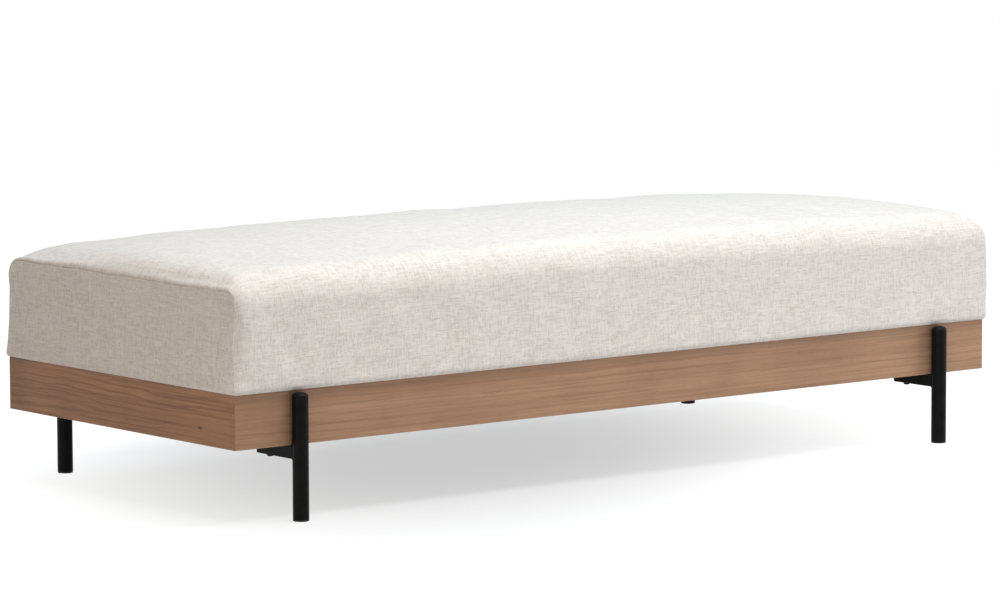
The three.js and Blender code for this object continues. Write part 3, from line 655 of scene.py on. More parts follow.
# %% Brackets
BRACKET_SIDE = 25 * MM
BRACKET_EDGE = 1.6 * MM
BRACKET_PLAIN_RUN = 30 * MM
WELD = 3.0 * MM
WELD_OVERLAP = 0.8 * WELD


def bracket(name, corner, material):
    """A rounded square carried from its capped inner end to the leg, where it flares into a weld."""
    low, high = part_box(f"leg_bracket_{corner}")
    leg_low, leg_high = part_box(f"leg_{corner}")
    inner_y, toward_leg = (high.y, -1) if corner.startswith("front") else (low.y, 1)
    reach = abs((leg_low.y + leg_high.y) / 2 - inner_y)
    section = rounded_rectangle(BRACKET_SIDE, BRACKET_SIDE, BRACKET_EDGE)
    side_gap = np.sqrt(np.maximum(LEG_RADIUS**2 - section[:, 0] ** 2, 0))

    cap_turn, weld_turn = np.radians([0, 30, 60, 90]), np.radians([0, 22, 45, 68, 90])
    plain_runs = np.append(BRACKET_EDGE * (1 - np.cos(cap_turn)), BRACKET_PLAIN_RUN)
    weld_runs = (WELD * np.sin(weld_turn))[:, None] + reach - side_gap - WELD_OVERLAP
    runs = np.concatenate([plain_runs[:, None] + 0 * side_gap, weld_runs])
    wider = np.concatenate([-BRACKET_EDGE * (1 - np.sin(cap_turn)), [0], WELD * (1 - np.cos(weld_turn)) / 2])
    wide = 1 + wider[:, None] / (BRACKET_SIDE / 2)
    upper = np.minimum(section[:, 1] * wide, BRACKET_SIDE / 2)
    rings = np.stack([(low.x + high.x) / 2 + section[:, 0] * wide, inner_y + toward_leg * runs,
                      (low.z + high.z) / 2 + upper], axis=-1)
    return carried(name, rings, material)


for corner in CORNERS:
    piece = bracket(f"square_bracket_{corner}", corner, black_coat)
    piece.modifiers.new("crisp_flats", "WEIGHTED_NORMAL").keep_sharp = True
    stand_for(piece, f"leg_bracket_{corner}")

# %% [markdown]
# ## The seat's form, as a formula
#
# The seat is one long padded block. Across the divan its outline climbs from a
# hem under the box's edge, rolls out in a tuck, goes up an almost upright side,
# turns over a rounded edge and crosses a slightly crowned top. Towards each end
# the rounding tightens and the top drops, until the outline becomes the seam of
# the flat end panel. So a point of the cover is a function of two numbers: how
# far behind the end it lies, and how far round the outline it lies. The lengths
# are those of the CAD frame, and a used cushion's settling is added to them.

# %% The outline's lengths
SEAT_HALF = HALF_LENGTH + 9 * MM
SEAM_DEPTH = 2.5 * MM
SEAM_HEIGHT = 195 * MM
SEAM_ROUNDING, SLACK_ROUNDING, EDGE_ROUNDING = 32 * MM, 60 * MM, 66 * MM
OVERHANG = 9 * MM
TUCK_HEIGHT = 10 * MM
SIDE_LEAN = 2 * MM
CORNER_DRAW, CORNER_DRAW_LENGTH = 5 * MM, 14 * MM
END_RISE, END_ROUND_LENGTH = 24 * MM, 92 * MM
END_POWER, SETTLED_POWER, SETTLED_ROOT = 2.5, 4, 0.62
CROWN_ALONG, CROWN_ACROSS = 12 * MM, 8 * MM
HEM_RUN, HEM_LIFT = 26 * MM, 0.3 * MM
HEM, TUCK, SIDE, ROUND, TOP, MIDDLE, REAR_HEM = 0, 1, 2, 3, 4, 5, 10

LEFT_SEAM_DROP, LEFT_FRONT_DROP, RIGHT_SEAM_DROP, DROP_REACH = 3.5 * MM, 10 * MM, 3 * MM, 18 * MM
REAR_DROP, LEFT_HOLLOW, RIGHT_HOLLOW, HOLLOW_START = 3.4 * MM, 10 * MM, 4 * MM, 12 * MM
LEFT_HOLLOW_REACH, RIGHT_HOLLOW_REACH = 100 * MM, 200 * MM
LEAN_IN, LEAN_TWIST, LEAN_HEIGHT, LEAN_POWER = 6.2 * MM, 1.5 * MM, 130 * MM, 1.3
PUSH_OUT, PUSH_HEIGHT, PUSH_REACH = 5 * MM, 200 * MM, 120 * MM
FRONT_DRAW_IN, REAR_DRAW_IN, RIGHT_DRAW_IN, DRAW_IN_REACH = 6 * MM, 4 * MM, 1.5 * MM, 42 * MM


def ease(share, power):
    """Rises from 0 to 1 with the share, quickly at first: 1 - (1 - share) ** power."""
    return 1 - (1 - np.clip(share, 0, 1)) ** power


def smooth(share):
    """Rises from 0 to 1 with a level start and end."""
    share = np.clip(share, 0, 1)
    return share * share * (3 - 2 * share)


def bell(offset, width):
    """1 at no offset, and it fades to 0 on both sides over about the width."""
    return np.exp(-((offset / width) ** 2))


def end_ease(depth):
    """How far the end's rounding has come at a depth behind the end, from 0 at the seam to 1."""
    return ease((depth - SEAM_DEPTH) / END_ROUND_LENGTH, END_POWER)


def lean(height):
    """How far the side has leaned in at a height above the box."""
    return SIDE_LEAN * np.maximum((height - TUCK_HEIGHT) / (SEAM_HEIGHT - TUCK_HEIGHT), 0)


def side_reach(height, depth):
    """How far the side stands out from the box's face; it is drawn in close to the seam."""
    drawn = CORNER_DRAW * (1 - ease((depth - SEAM_DEPTH) / CORNER_DRAW_LENGTH, 2))
    return OVERHANG - lean(height) - drawn


def settling(points, depth, end):
    """How far the used cushion has settled away from the plain form, as an array of shifts.

    Its seams and its rear edge hang lower, its left end leans in above the tuck while its right
    end is pushed out, and the long sides are drawn in behind the seam, most at half height.
    """
    y, height = points[..., 1], points[..., 2] - BOARD_TOP
    up = np.clip(height / SEAM_HEIGHT, 0, 1)
    gap = np.maximum(depth - SEAM_DEPTH, 0)
    left = end < 0
    front_share, rear_share = smooth((0.25 - y) / 0.5), smooth((y + 0.1) / 0.4)
    seam_drop = np.where(left, LEFT_SEAM_DROP + LEFT_FRONT_DROP * front_share, RIGHT_SEAM_DROP)
    hollow_reach = np.where(left, LEFT_HOLLOW_REACH, RIGHT_HOLLOW_REACH)
    hollow = np.where(left, LEFT_HOLLOW, RIGHT_HOLLOW) * bell(gap, hollow_reach)
    rear_drop = rear_share * (REAR_DROP + hollow * (1 - bell(gap, HOLLOW_START)))
    drop = (seam_drop * np.exp(-gap / DROP_REACH) + rear_drop) * up

    lean_in = (LEAN_IN - LEAN_TWIST * y) * ease(height / LEAN_HEIGHT, LEAN_POWER)
    lean_in = lean_in * (1 - depth / SEAT_HALF)
    push_out = PUSH_OUT * np.sin(math.pi * np.clip(height / PUSH_HEIGHT, 0, 1)) * bell(gap, PUSH_REACH)
    draw_in = np.where(left, np.where(y < 0, FRONT_DRAW_IN, REAR_DRAW_IN), RIGHT_DRAW_IN)
    draw_in = draw_in * np.sin(math.pi * up) * (1 - ease(gap / DRAW_IN_REACH, 2))
    return np.stack([np.where(left, lean_in, push_out), -np.sign(y) * draw_in, -drop], axis=-1)


def seat_points(depth, end, way, settled=True):
    """Points of the cover: one row per depth behind its end (-1 or 1), one column per way round.

    The way goes from 0 to 5 over the front half, one for each of hem, tuck, side, rounding
    and half the top, and from 5 to 10 down the rear half in the same steps. The form that
    isn't settled is the CAD cover's.
    """
    depth, end = np.asarray(depth, float)[:, None], np.asarray(end, float)[:, None]
    way = np.asarray(way, float)[None, :]
    front = np.where(way <= MIDDLE, -1.0, 1.0)
    half = np.minimum(way, REAR_HEM - way)
    part = np.minimum(np.floor(half), TOP)
    share = half - part
    slack_corner = settled & (front > 0) & (end < 0)
    seam_rounding = np.where(slack_corner, SLACK_ROUNDING, SEAM_ROUNDING)
    rounding = seam_rounding + (EDGE_ROUNDING - seam_rounding) * end_ease(depth)
    middle = np.minimum((SEAT_HALF - depth) / (SEAT_HALF - SEAM_DEPTH), 1)
    risen = end_ease(depth)
    if settled:
        risen = ease((depth - SEAM_DEPTH) / END_ROUND_LENGTH, SETTLED_POWER) ** SETTLED_ROOT
    shoulder = SEAM_HEIGHT + END_RISE * risen + CROWN_ALONG * (1 - middle**2)
    spring = shoulder - rounding
    turn = share * math.pi / 2
    flat = HALF_DEPTH + side_reach(spring, depth) - rounding

    stretches = [part == HEM, part == TUCK, part == SIDE, part == ROUND]
    height = np.select(
        stretches,
        [HEM_LIFT + 0 * depth, HEM_LIFT + TUCK_HEIGHT * (1 - np.cos(turn)),
         TUCK_HEIGHT + (spring - TUCK_HEIGHT) * share, spring + rounding * np.sin(turn)],
        shoulder + CROWN_ACROSS * end_ease(depth) * (1 - (1 - share) ** 2))
    reach = side_reach(height, depth)
    outward = np.select(
        stretches,
        [HALF_DEPTH - HEM_RUN * (1 - share), HALF_DEPTH + reach * np.sin(turn),
         HALF_DEPTH + reach, flat + rounding * np.cos(turn)],
        flat * (1 - share))
    below = np.maximum(1 - height / TUCK_HEIGHT, 0)
    end_tuck = OVERHANG * (1 - np.sqrt(1 - below**2))
    end_tuck = end_tuck * np.maximum(1 - (depth - SEAM_DEPTH) / END_ROUND_LENGTH, 0)
    drop_in = (lean(height) + end_tuck) * (1 - depth / SEAT_HALF)
    hem_share = np.where(part == HEM, 1 - share, 0)
    narrowed = 1 - hem_share * HEM_RUN / (SEAT_HALF - SEAM_DEPTH - OVERHANG)
    x = end * (SEAT_HALF - depth - drop_in) * narrowed
    points = np.stack([x, front * outward, BOARD_TOP + height], axis=-1)
    return points + settling(points, depth, end) if settled else points


middle_outline = seat_points([SEAT_HALF], [1], np.linspace(0, REAR_HEM, 400))[0]
print("outline at the middle:", (middle_outline.max(axis=0) * 1000).round(1), "mm")

# %% [markdown]
# ## The end panel, as a formula
#
# The end panel fills the seam's outline. A Coons patch does it: the four border
# curves are blended across the panel, so every inner point follows all of them.
# The hem is straight, so the blend is one row of level lines from front to rear,
# raised to meet the top. Then the panel stands out like a pillow, quickly near
# the seam and hardly at all in the middle, with a slight bulge.

# %% End panel
PANEL_CORNER = 3.5
PANEL_BULGE = 3 * MM
PILLOW_WIDTH = 30 * MM


def rim(end, way, settled=True):
    """Points of the seam line at one end."""
    return seat_points([SEAM_DEPTH], [end], way, settled)[0]


def panel_points(end, rows, columns, settled=True):
    """Coons patch between the seam's front, top and rear, and the straight hem.

    rows are ways from 0 to PANEL_CORNER up the front border, and columns go on from there
    over the top. The second result is each point's distance to the seam, the third the way
    of the nearest seam point.
    """
    front, rear, top = (rim(end, way, settled) for way in (rows, REAR_HEM - rows, columns))
    across = (top[:, 1] - top[0, 1]) / (top[-1, 1] - top[0, 1])
    up = (front[:, 2] - front[0, 2]) / (front[-1, 2] - front[0, 2])
    s, t = across[None, :, None], up[:, None, None]
    level_lines = front[:, None] * (1 - s) + rear[:, None] * s
    points = level_lines + (top - level_lines[-1]) * t

    to_front = np.abs(points[:, :, 1] - points[:, :1, 1])
    to_rear = np.abs(points[:, :, 1] - points[:, -1:, 1])
    to_top = np.linalg.norm((points - points[-1:])[:, :, 1:], axis=-1)
    distance = np.minimum(np.minimum(to_front, to_rear), to_top)
    nearest = np.where(to_top <= distance, columns[None, :] + 0 * to_top,
                       np.where(to_front <= distance, rows[:, None], REAR_HEM - rows[:, None]))
    height = points[:, :, 2] - BOARD_TOP
    share_up = np.clip(height / SEAM_HEIGHT, 0, 1)
    bulge = PANEL_BULGE * (1 - (2 * across - 1) ** 2) * (1 - share_up**2)
    rise = (SEAM_DEPTH + bulge) * ease(distance / PILLOW_WIDTH, 2) * np.clip(height / TUCK_HEIGHT, 0, 1)
    points[:, :, 0] += end * rise
    return points, distance, nearest


print("seam corners at", (rim(-1, np.array([PANEL_CORNER, REAR_HEM - PANEL_CORNER])) * 1000).round(1), "mm")

# %% [markdown]
# ## Letting the cover swell
#
# Padded cloth isn't a drawn shape: it is pushed out by its filling and held at
# its hems and seams. So a coarse copy of the cover, all three panels in one
# net, is blown up for a moment by Blender's cloth solver. Its hems are pinned,
# weak springs hold every other point to its place as the foam behind it does,
# the cloth is cut a little long and its seams a little short, and gravity is off
# because foam carries it. It starts slightly small. A share of the movement is
# kept, within a few millimetres, and read off for the fine surfaces. Where
# settling and swelling together would sink the cloth into the foam, a limit
# takes over smoothly, because a hard stop would leave a crease.

# %% Coarse net of the whole cover
START_SMALLER = 3.2 * MM
MOVE_LIMIT = 8 * MM
SWELLING_SHARE = 0.55
FOAM_GRIP = 0.32
HELD_BELOW, FREE_ABOVE = 3 * MM, 32 * MM
SUNK_LIMIT, SUNK_SOFTNESS = -10.5 * MM, 0.3 * MM
SWELLING_FRAMES = 20
CLOTH_SETTINGS = {
    "quality": 6, "mass": 0.1, "air_damping": 8.0, "tension_stiffness": 40.0,
    "compression_stiffness": 40.0, "shear_stiffness": 30.0, "bending_stiffness": 60.0,
    "use_pressure": True, "uniform_pressure_force": 4.0, "shrink_min": -0.003, "shrink_max": 0.014,
}
SEAT_CORE, CORE_SHARE = np.array([0, 0, BOARD_TOP + 0.1]), np.array([0.97, 0, 0])


def mirrored_way(half):
    """The same steps down the rear as up the front."""
    return np.concatenate([half, (REAR_HEM - half[:-1])[::-1]])


def mirrored_depth(depth):
    """Depths from both ends to the middle, and which end each belongs to."""
    ends = np.repeat([-1.0, 1.0], [len(depth), len(depth) - 1])
    return np.concatenate([depth, depth[:-1][::-1]]), ends


def steps(*stretches):
    """Joins evenly divided stretches, each (start, end, count), without repeating their shared ends."""
    parts = [np.linspace(start, end, count + 1)[:-1] for start, end, count in stretches]
    return np.concatenate(parts + [[stretches[-1][1]]])


def dot(a, b):
    """The dot product of each vector in a with the one in b."""
    return np.einsum("...k,...k->...", a, b)


def unit(vectors):
    """The vectors at length 1, and a zero vector as it is."""
    return vectors / np.maximum(np.linalg.norm(vectors, axis=-1, keepdims=True), 1e-12)


def outward_normals(points):
    """Unit normals of a grid of points, turned away from a line through the middle of the seat."""
    normals = unit(np.cross(np.gradient(points, axis=0), np.gradient(points, axis=1)))
    from_core = points - (points * CORE_SHARE + SEAT_CORE)
    return normals * np.where(dot(normals, from_core) < 0, -1, 1)[..., None]


def close_normals(depth, end, way):
    """Outward normals of the plain form, from a second grid half a millimetre farther from the ends."""
    here = seat_points(depth, end, way, settled=False)
    inward = seat_points(depth + 0.5 * MM, end, way, settled=False) - here
    normals = unit(np.cross(inward, np.gradient(here, axis=1)))
    return normals * np.sign(dot(normals, outward_normals(here)))[..., None]


def facing_out(points, faces, outward):
    """Turns round each face whose normal runs against the outward directions of its corners."""
    a, b, c = (points[faces[:, i]] for i in range(3))
    against = dot(np.cross(b - a, c - b), outward[faces].mean(axis=1)) < 0
    return np.where(against[:, None], faces[:, ::-1], faces)


def grip(height_above_box):
    """0 on the hem, where the cloth is stapled, and 1 above the tuck."""
    return smooth((height_above_box - HELD_BELOW) / (FREE_ABOVE - HELD_BELOW))


coarse_way = mirrored_way(
    steps((0, 1, 1), (1, 2, 3), (2, 3, 8), (3, PANEL_CORNER, 3), (PANEL_CORNER, 4, 3), (4, MIDDLE, 16)))
corner_index = int(np.argmin(np.abs(coarse_way - PANEL_CORNER)))
coarse_rows = coarse_way[: corner_index + 1]
coarse_columns = coarse_way[corner_index : len(coarse_way) - corner_index]
coarse_depth, coarse_end = mirrored_depth(
    steps((SEAM_DEPTH, 20 * MM, 2), (20 * MM, 100 * MM, 5), (100 * MM, SEAT_HALF, 40)))
print("coarse net:", len(coarse_depth), "by", len(coarse_way), "points")


# %% Swelling the net
def kept_outside(shift, outward, limit):
    """Shifts whose outward part stays above the limit and levels off smoothly near it."""
    part = dot(shift, outward)
    lifted = limit + SUNK_SOFTNESS * np.logaddexp(0, (part - limit) / SUNK_SOFTNESS)
    return shift + outward * (lifted - part)[..., None]


def net_of_cover(settled=True):
    """One net of wrap and both end panels that share the seams' points.

    Gives back the points, their outward directions, the faces, and the numbers of the points
    of wrap, left and right panel as grids.
    """
    wrap = seat_points(coarse_depth, coarse_end, coarse_way, settled)
    points, outward = [wrap.reshape(-1, 3)], [outward_normals(wrap).reshape(-1, 3)]
    faces = [grid_faces(*wrap.shape[:2])]
    numbers = [np.arange(len(points[0])).reshape(wrap.shape[:2])]
    for end, station in ((-1, 0), (1, -1)):
        panel, _, _ = panel_points(end, coarse_rows, coarse_columns, settled)
        border = numbers[0][station]
        inner = np.zeros(panel.shape[:2], dtype=bool)
        inner[:-1, 1:-1] = True
        number = np.empty(panel.shape[:2], dtype=int)
        number[inner] = sum(len(part) for part in points) + np.arange(inner.sum())
        number[:, 0] = border[: corner_index + 1]
        number[:, -1] = border[::-1][: corner_index + 1]
        number[-1] = border[corner_index : len(border) - corner_index]
        points.append(panel[inner])
        outward.append(np.tile([end, 0.0, 0.0], (inner.sum(), 1)))
        faces.append(number.ravel()[grid_faces(*number.shape)])
        numbers.append(number)
    points, outward = np.concatenate(points), np.concatenate(outward)
    return points, outward, facing_out(points, np.concatenate(faces), outward), numbers


def blown_up(points, faces, held, seam):
    """Runs the cloth solver on a net and gives back where its points end."""
    net = make_piece("swelling_net", points, faces, fabric_finish)
    pins = net.vertex_groups.new(name="held")
    pins.add(list(range(len(points))), FOAM_GRIP, "REPLACE")
    pins.add(np.flatnonzero(held).tolist(), 1.0, "REPLACE")
    net.vertex_groups.new(name="seam").add(np.flatnonzero(seam).tolist(), 1.0, "REPLACE")
    cloth = net.modifiers.new("swell", "CLOTH")
    cloth.point_cache.frame_start, cloth.point_cache.frame_end = 1, SWELLING_FRAMES
    cloth.settings.vertex_group_mass, cloth.settings.vertex_group_shrink = "held", "seam"
    cloth.settings.effector_weights.gravity = 0.0
    cloth.collision_settings.use_collision = False
    for setting, value in CLOTH_SETTINGS.items():
        setattr(cloth.settings, setting, value)
    for frame_number in range(1, SWELLING_FRAMES + 1):
        bpy.context.scene.frame_set(frame_number)
    ready = net.evaluated_get(bpy.context.evaluated_depsgraph_get())
    result = np.empty(len(points) * 3, dtype=np.float32)
    ready.data.vertices.foreach_get("co", result)
    bpy.context.scene.frame_set(1)
    bpy.data.meshes.remove(net.data)
    return result.reshape(-1, 3).astype(float)


net_points, net_outward, net_faces, net_numbers = net_of_cover()
net_grip = grip(net_points[:, 2] - BOARD_TOP)
net_start = net_points - net_outward * (START_SMALLER * net_grip)[:, None]
on_seam = np.isin(np.arange(len(net_points)), net_numbers[0][[0, -1]])
net_move = net_points - net_start
net_move += SWELLING_SHARE * (blown_up(net_start, net_faces, net_grip < 0.001, on_seam) - net_points)
length = np.linalg.norm(net_move, axis=1, keepdims=True)
net_move *= MOVE_LIMIT * np.tanh(length / MOVE_LIMIT) / np.maximum(length, 1e-9)
print("swelled outwards by", (np.percentile(dot(net_move, net_outward), [5, 50, 95]) * 1000).round(2), "mm")
net_shift = (net_move - net_outward * START_SMALLER) * net_grip[:, None]
plain_net, plain_outward, _, _ = net_of_cover(settled=False)
plain_outward[: net_numbers[0].size] = close_normals(coarse_depth, coarse_end, coarse_way).reshape(-1, 3)
settled_by = net_points - plain_net
net_shift = kept_outside(settled_by + net_shift, plain_outward, SUNK_LIMIT) - settled_by

# %% [markdown]
# ## From the coarse net to the fine surfaces
#
# The movement is known on the coarse net only, and it is smooth, so it can be
# read off between the net's points. Along each of the two directions a weight
# matrix mixes the four nearest values (a Catmull-Rom curve), and two matrix
# products carry the whole field over.


# %% Reading off the movement
def reading_weights(known, wanted):
    """Catmull-Rom weights that turn values at the known places into ones at the wanted places."""
    place = np.interp(wanted, known, np.arange(len(known)))
    left = np.minimum(place.astype(int), len(known) - 2)
    t = place - left
    weights = np.zeros((len(wanted), len(known)))
    parts = ((-t + 2 * t**2 - t**3) / 2, (2 - 5 * t**2 + 3 * t**3) / 2,
             (t + 4 * t**2 - 3 * t**3) / 2, (-(t**2) + t**3) / 2)
    for offset, part in zip((-1, 0, 1, 2), parts):
        column = np.clip(left + offset, 0, len(known) - 1)
        np.add.at(weights, (np.arange(len(wanted)), column), part)
    return weights


def carried_over(values, known_rows, known_columns, rows, columns):
    """A grid of vectors read off at new rows and columns."""
    down, along = reading_weights(known_rows, rows), reading_weights(known_columns, columns)
    return np.einsum("ai,bj,ijk->abk", down, along, values, optimize=True)


def waves(place, shortest, longest, seed, count=7):
    """An irregular wave of about unit size: sines of random length and phase, added up."""
    draw = np.random.default_rng(seed)
    lengths = draw.uniform(shortest, longest, count)
    phases = draw.uniform(0, 2 * math.pi, count)
    turns = 2 * math.pi * place[..., None] / lengths + phases
    return np.sin(turns).sum(axis=-1) / math.sqrt(count)


print("movement on the net:", net_shift.shape)

# %% [markdown]
# ## The seam
#
# Where wrap and end panel meet, both cloths roll inwards over a few millimetres
# and run on side by side as the seam allowance. That roll makes the thin dark
# line of a plain seam. It follows a quarter circle, in the direction halfway
# between the two panels. The line also wanders a little and the cloth puckers
# beside it, because a needle never follows a ruler.

# %% Seam
SEAM_ROLL = 2.2 * MM
SEAM_SLIT, ALLOWANCE_SLIT = 0.05 * MM, 0.02 * MM
ALLOWANCE = (0.9 * MM, 5 * MM)
WANDER, WANDER_REACH = 0.9 * MM, 18 * MM
PUCKER, PUCKER_REACH = 0.35 * MM, 8 * MM
SEED_OF_END = {-1: 5, 1: 17}


def lengths_along(line):
    """How far along a line of points each of them lies."""
    return np.concatenate([[0], np.cumsum(np.linalg.norm(np.diff(line, axis=0), axis=1))])


fine_ways = np.linspace(0, REAR_HEM, 2001)
rim_lengths = lengths_along(rim(-1, fine_ways))
outline_lengths = lengths_along(seat_points([SEAT_HALF], [1], fine_ways)[0])


def inward_at_seam(end, way):
    """Unit vectors into the seat, halfway between wrap and panel, and the ones across the seam."""
    near = seat_points([SEAM_DEPTH, SEAM_DEPTH + 1 * MM], [end, end], way)
    wrap_out = outward_normals(near)[0]
    panel_out = np.array([float(end), 0.0, 0.0])
    return unit(-(wrap_out + panel_out)), unit(wrap_out - panel_out)


def seam_shift(end, distance, way):
    """What the seam does to a point at a distance from it: roll in, wander across and pucker."""
    inward, across = inward_at_seam(end, way.ravel())
    length = np.interp(way.ravel(), fine_ways, rim_lengths)
    gap = distance.ravel()
    inside = np.clip(SEAM_ROLL - gap, 0, SEAM_ROLL)
    roll = SEAM_ROLL - np.sqrt(SEAM_ROLL**2 - inside**2)
    seed = SEED_OF_END[end]
    wander = WANDER * waves(length, 70 * MM, 260 * MM, seed) * np.exp(-gap / WANDER_REACH)
    gathers = waves(length, 11 * MM, 24 * MM, seed + 1, 9)
    gathers *= 0.6 + 0.4 * waves(length, 90 * MM, 200 * MM, seed + 2)
    pucker = PUCKER * gathers * np.exp(-gap / PUCKER_REACH)
    shift = inward * (roll + pucker)[:, None] + across * wander[:, None]
    return shift.reshape(*way.shape, 3)


def allowance(border, end, way, side):
    """The border moved off the seam's middle, and the rows of the seam allowance that run in from it.

    side is 1 for the wrap and -1 for the end panel, which lie on either side of the seam.
    """
    inward, across = inward_at_seam(end, way)
    rows = [border + inward * depth + across * (side * ALLOWANCE_SLIT) for depth in ALLOWANCE]
    return border + across * (side * SEAM_SLIT), rows


print("seam is", round(float(rim_lengths[-1]), 3), "m round each end")

# %% [markdown]
# ## Soft unevenness
#
# Foam under cloth is never ruled. The crest of the long edges rises and falls
# by a millimetre or two, the faces show shallow upright waves above the tuck,
# and the cloth is gathered a little where it is stapled under. These are added
# as slow irregular waves along the outward direction, and fade out at the seams.

# %% Unevenness
CREST_WAVE, TOP_WAVE, FACE_WAVE, TUCK_WAVE = 1.9 * MM, 1.4 * MM, 0.9 * MM, 0.9 * MM
LOW_BULGE = 1.3 * MM
FADE_AT_SEAM = 30 * MM


def unevenness(along, height, round_edge, seed):
    """Outward waves in metres for points along a face at a height above the box.

    round_edge is 1 on the crest of the rounded edge and 0 away from it.
    """
    crest = CREST_WAVE * waves(along, 130 * MM, 420 * MM, seed) * round_edge
    upright = waves(along, 55 * MM, 150 * MM, seed + 1, 9) * (0.65 + 0.35 * np.cos(height * 14 + 0.6))
    face = FACE_WAVE * upright * (0.35 + 0.65 * bell(height - 45 * MM, 60 * MM)) * grip(height)
    tuck = TUCK_WAVE * waves(along, 17 * MM, 42 * MM, seed + 2, 11) * bell(height - 13 * MM, 11 * MM)
    return crest + face + tuck + LOW_BULGE * bell(height - 27 * MM, 20 * MM)


# %% Wrap
CLOTH_THICKNESS = 1.3 * MM
CREST_WAY, CREST_WIDTH = 3.6, 0.45
FRONT_SEED, REAR_SEED, TOP_SEED = 21, 33, 51
NEAR_SEAM = np.array([0, 0.35, 0.9, 1.7, 2.7, 4.2, 6.5, 10, 14.5, 20, 26.5, 34, 42.5, 52]) * MM
wrap_way = mirrored_way(
    steps((0, 1, 2), (1, 2, 6), (2, 2.3, 6), (2.3, 3, 9), (3, 4, 12), (4, MIDDLE, 20)))
wrap_depth, wrap_end = mirrored_depth(
    np.concatenate([SEAM_DEPTH + NEAR_SEAM, np.linspace(62 * MM, SEAT_HALF, 80)]))
wrap_run = wrap_end * (SEAT_HALF - wrap_depth)


def wrap_surface():
    """Points of the wrap with swelling, unevenness and the seams' roll."""
    points = seat_points(wrap_depth, wrap_end, wrap_way)
    outward = outward_normals(points)
    x, y, height = points[..., 0], points[..., 1], points[..., 2] - BOARD_TOP
    gap = (wrap_depth - SEAM_DEPTH)[:, None] + 0 * height
    half_way = np.minimum(wrap_way, REAR_HEM - wrap_way)
    round_edge = bell(half_way - CREST_WAY, CREST_WIDTH)
    front_wave, rear_wave = (unevenness(x, height, round_edge, seed) for seed in (FRONT_SEED, REAR_SEED))
    wave = np.where(wrap_way <= MIDDLE, front_wave, rear_wave)
    top_share = np.clip(half_way - TOP, 0, 1)
    wave += TOP_WAVE * waves(x + 0.4 * y, 240 * MM, 520 * MM, TOP_SEED) * top_share
    wave *= 1 - bell(gap, FADE_AT_SEAM)
    coarse_run = coarse_end * (SEAT_HALF - coarse_depth)
    moved = carried_over(net_shift[net_numbers[0]], coarse_run, coarse_way, wrap_run, wrap_way)
    points = points + moved + outward * wave[..., None]
    for end in (-1, 1):
        here = wrap_end == end
        way = np.broadcast_to(wrap_way, gap[here].shape)
        points[here] += seam_shift(end, gap[here], way)
    return points


wrap_points = wrap_surface()
first_row, left_rows = allowance(wrap_points[0], -1, wrap_way, 1)
last_row, right_rows = allowance(wrap_points[-1], 1, wrap_way, 1)
wrap_points[0], wrap_points[-1] = first_row, last_row
wrap_points = np.concatenate([left_rows[::-1], wrap_points, right_rows])
print("wrap:", wrap_points.shape, (wrap_points.max(axis=(0, 1)) * 1000).round(1), "mm")


# %% Wrap piece
def turned_out(points, faces):
    """The faces, all reversed if they point towards the middle of the seat."""
    return faces if enclosed_volume(points - SEAT_CORE, faces) > 0 else faces[:, ::-1]


def stand_for_padding(piece, node):
    """A padded piece that stands for a node, as any other piece does."""
    stand_for(piece, node)


def cloth_piece(name, node, points, faces, cloth_map):
    """A panel of the cover with its thickness inwards and one subdivision."""
    piece = make_piece(name, points, turned_out(points, faces), fabric_finish, cloth_map=cloth_map)
    wall = piece.modifiers.new("cloth_thickness", "SOLIDIFY")
    wall.thickness, wall.offset = CLOTH_THICKNESS, -1
    smoother = piece.modifiers.new("smoother", "SUBSURF")
    smoother.levels = smoother.render_levels = 1
    stand_for_padding(piece, node)
    print(name, len(faces), "faces")


wrap_v = np.interp(wrap_way, fine_ways, outline_lengths)
wrap_map = np.stack(np.meshgrid(np.pad(wrap_run, 2, mode="edge"), wrap_v, indexing="ij"), axis=-1)
cloth_piece("seat_cover_wrap", "cover_wrap", wrap_points.reshape(-1, 3),
            grid_faces(*wrap_points.shape[:2]), wrap_map.reshape(-1, 2))

# %% End panels
ENDS = ((-1, "left"), (1, "right"))
PANEL_SEED_SHIFT = 40
CLOTH_APART, CLOTH_UP = 3.0, 0.7
edge_steps = np.array([0, 0.8, 1.7, 2.9, 4.6, 7, 10.5, 15.5, 22, 32]) * 0.01
panel_rows = np.concatenate([
    steps((0, 1, 2), (1, 2, 6), (2, 2.3, 5), (2.3, 3, 7), (3, 3.2, 3)), PANEL_CORNER - edge_steps[-2::-1]])
panel_columns = mirrored_way(np.concatenate([PANEL_CORNER + edge_steps, np.linspace(TOP, MIDDLE, 22)]))


def panel_surface(end, rows, columns):
    """The panel's patch with swelling and unevenness, and what panel_points says of each point."""
    points, distance, nearest = panel_points(end, rows, columns)
    height = points[..., 2] - BOARD_TOP
    known = net_shift[net_numbers[1 if end == -1 else 2]]
    points = points + carried_over(known, coarse_rows, coarse_columns, rows, columns)
    wave = unevenness(points[..., 1], height, 0.0, SEED_OF_END[end] + PANEL_SEED_SHIFT)
    points[..., 0] += end * wave * (1 - bell(distance, FADE_AT_SEAM))
    return points, distance, nearest


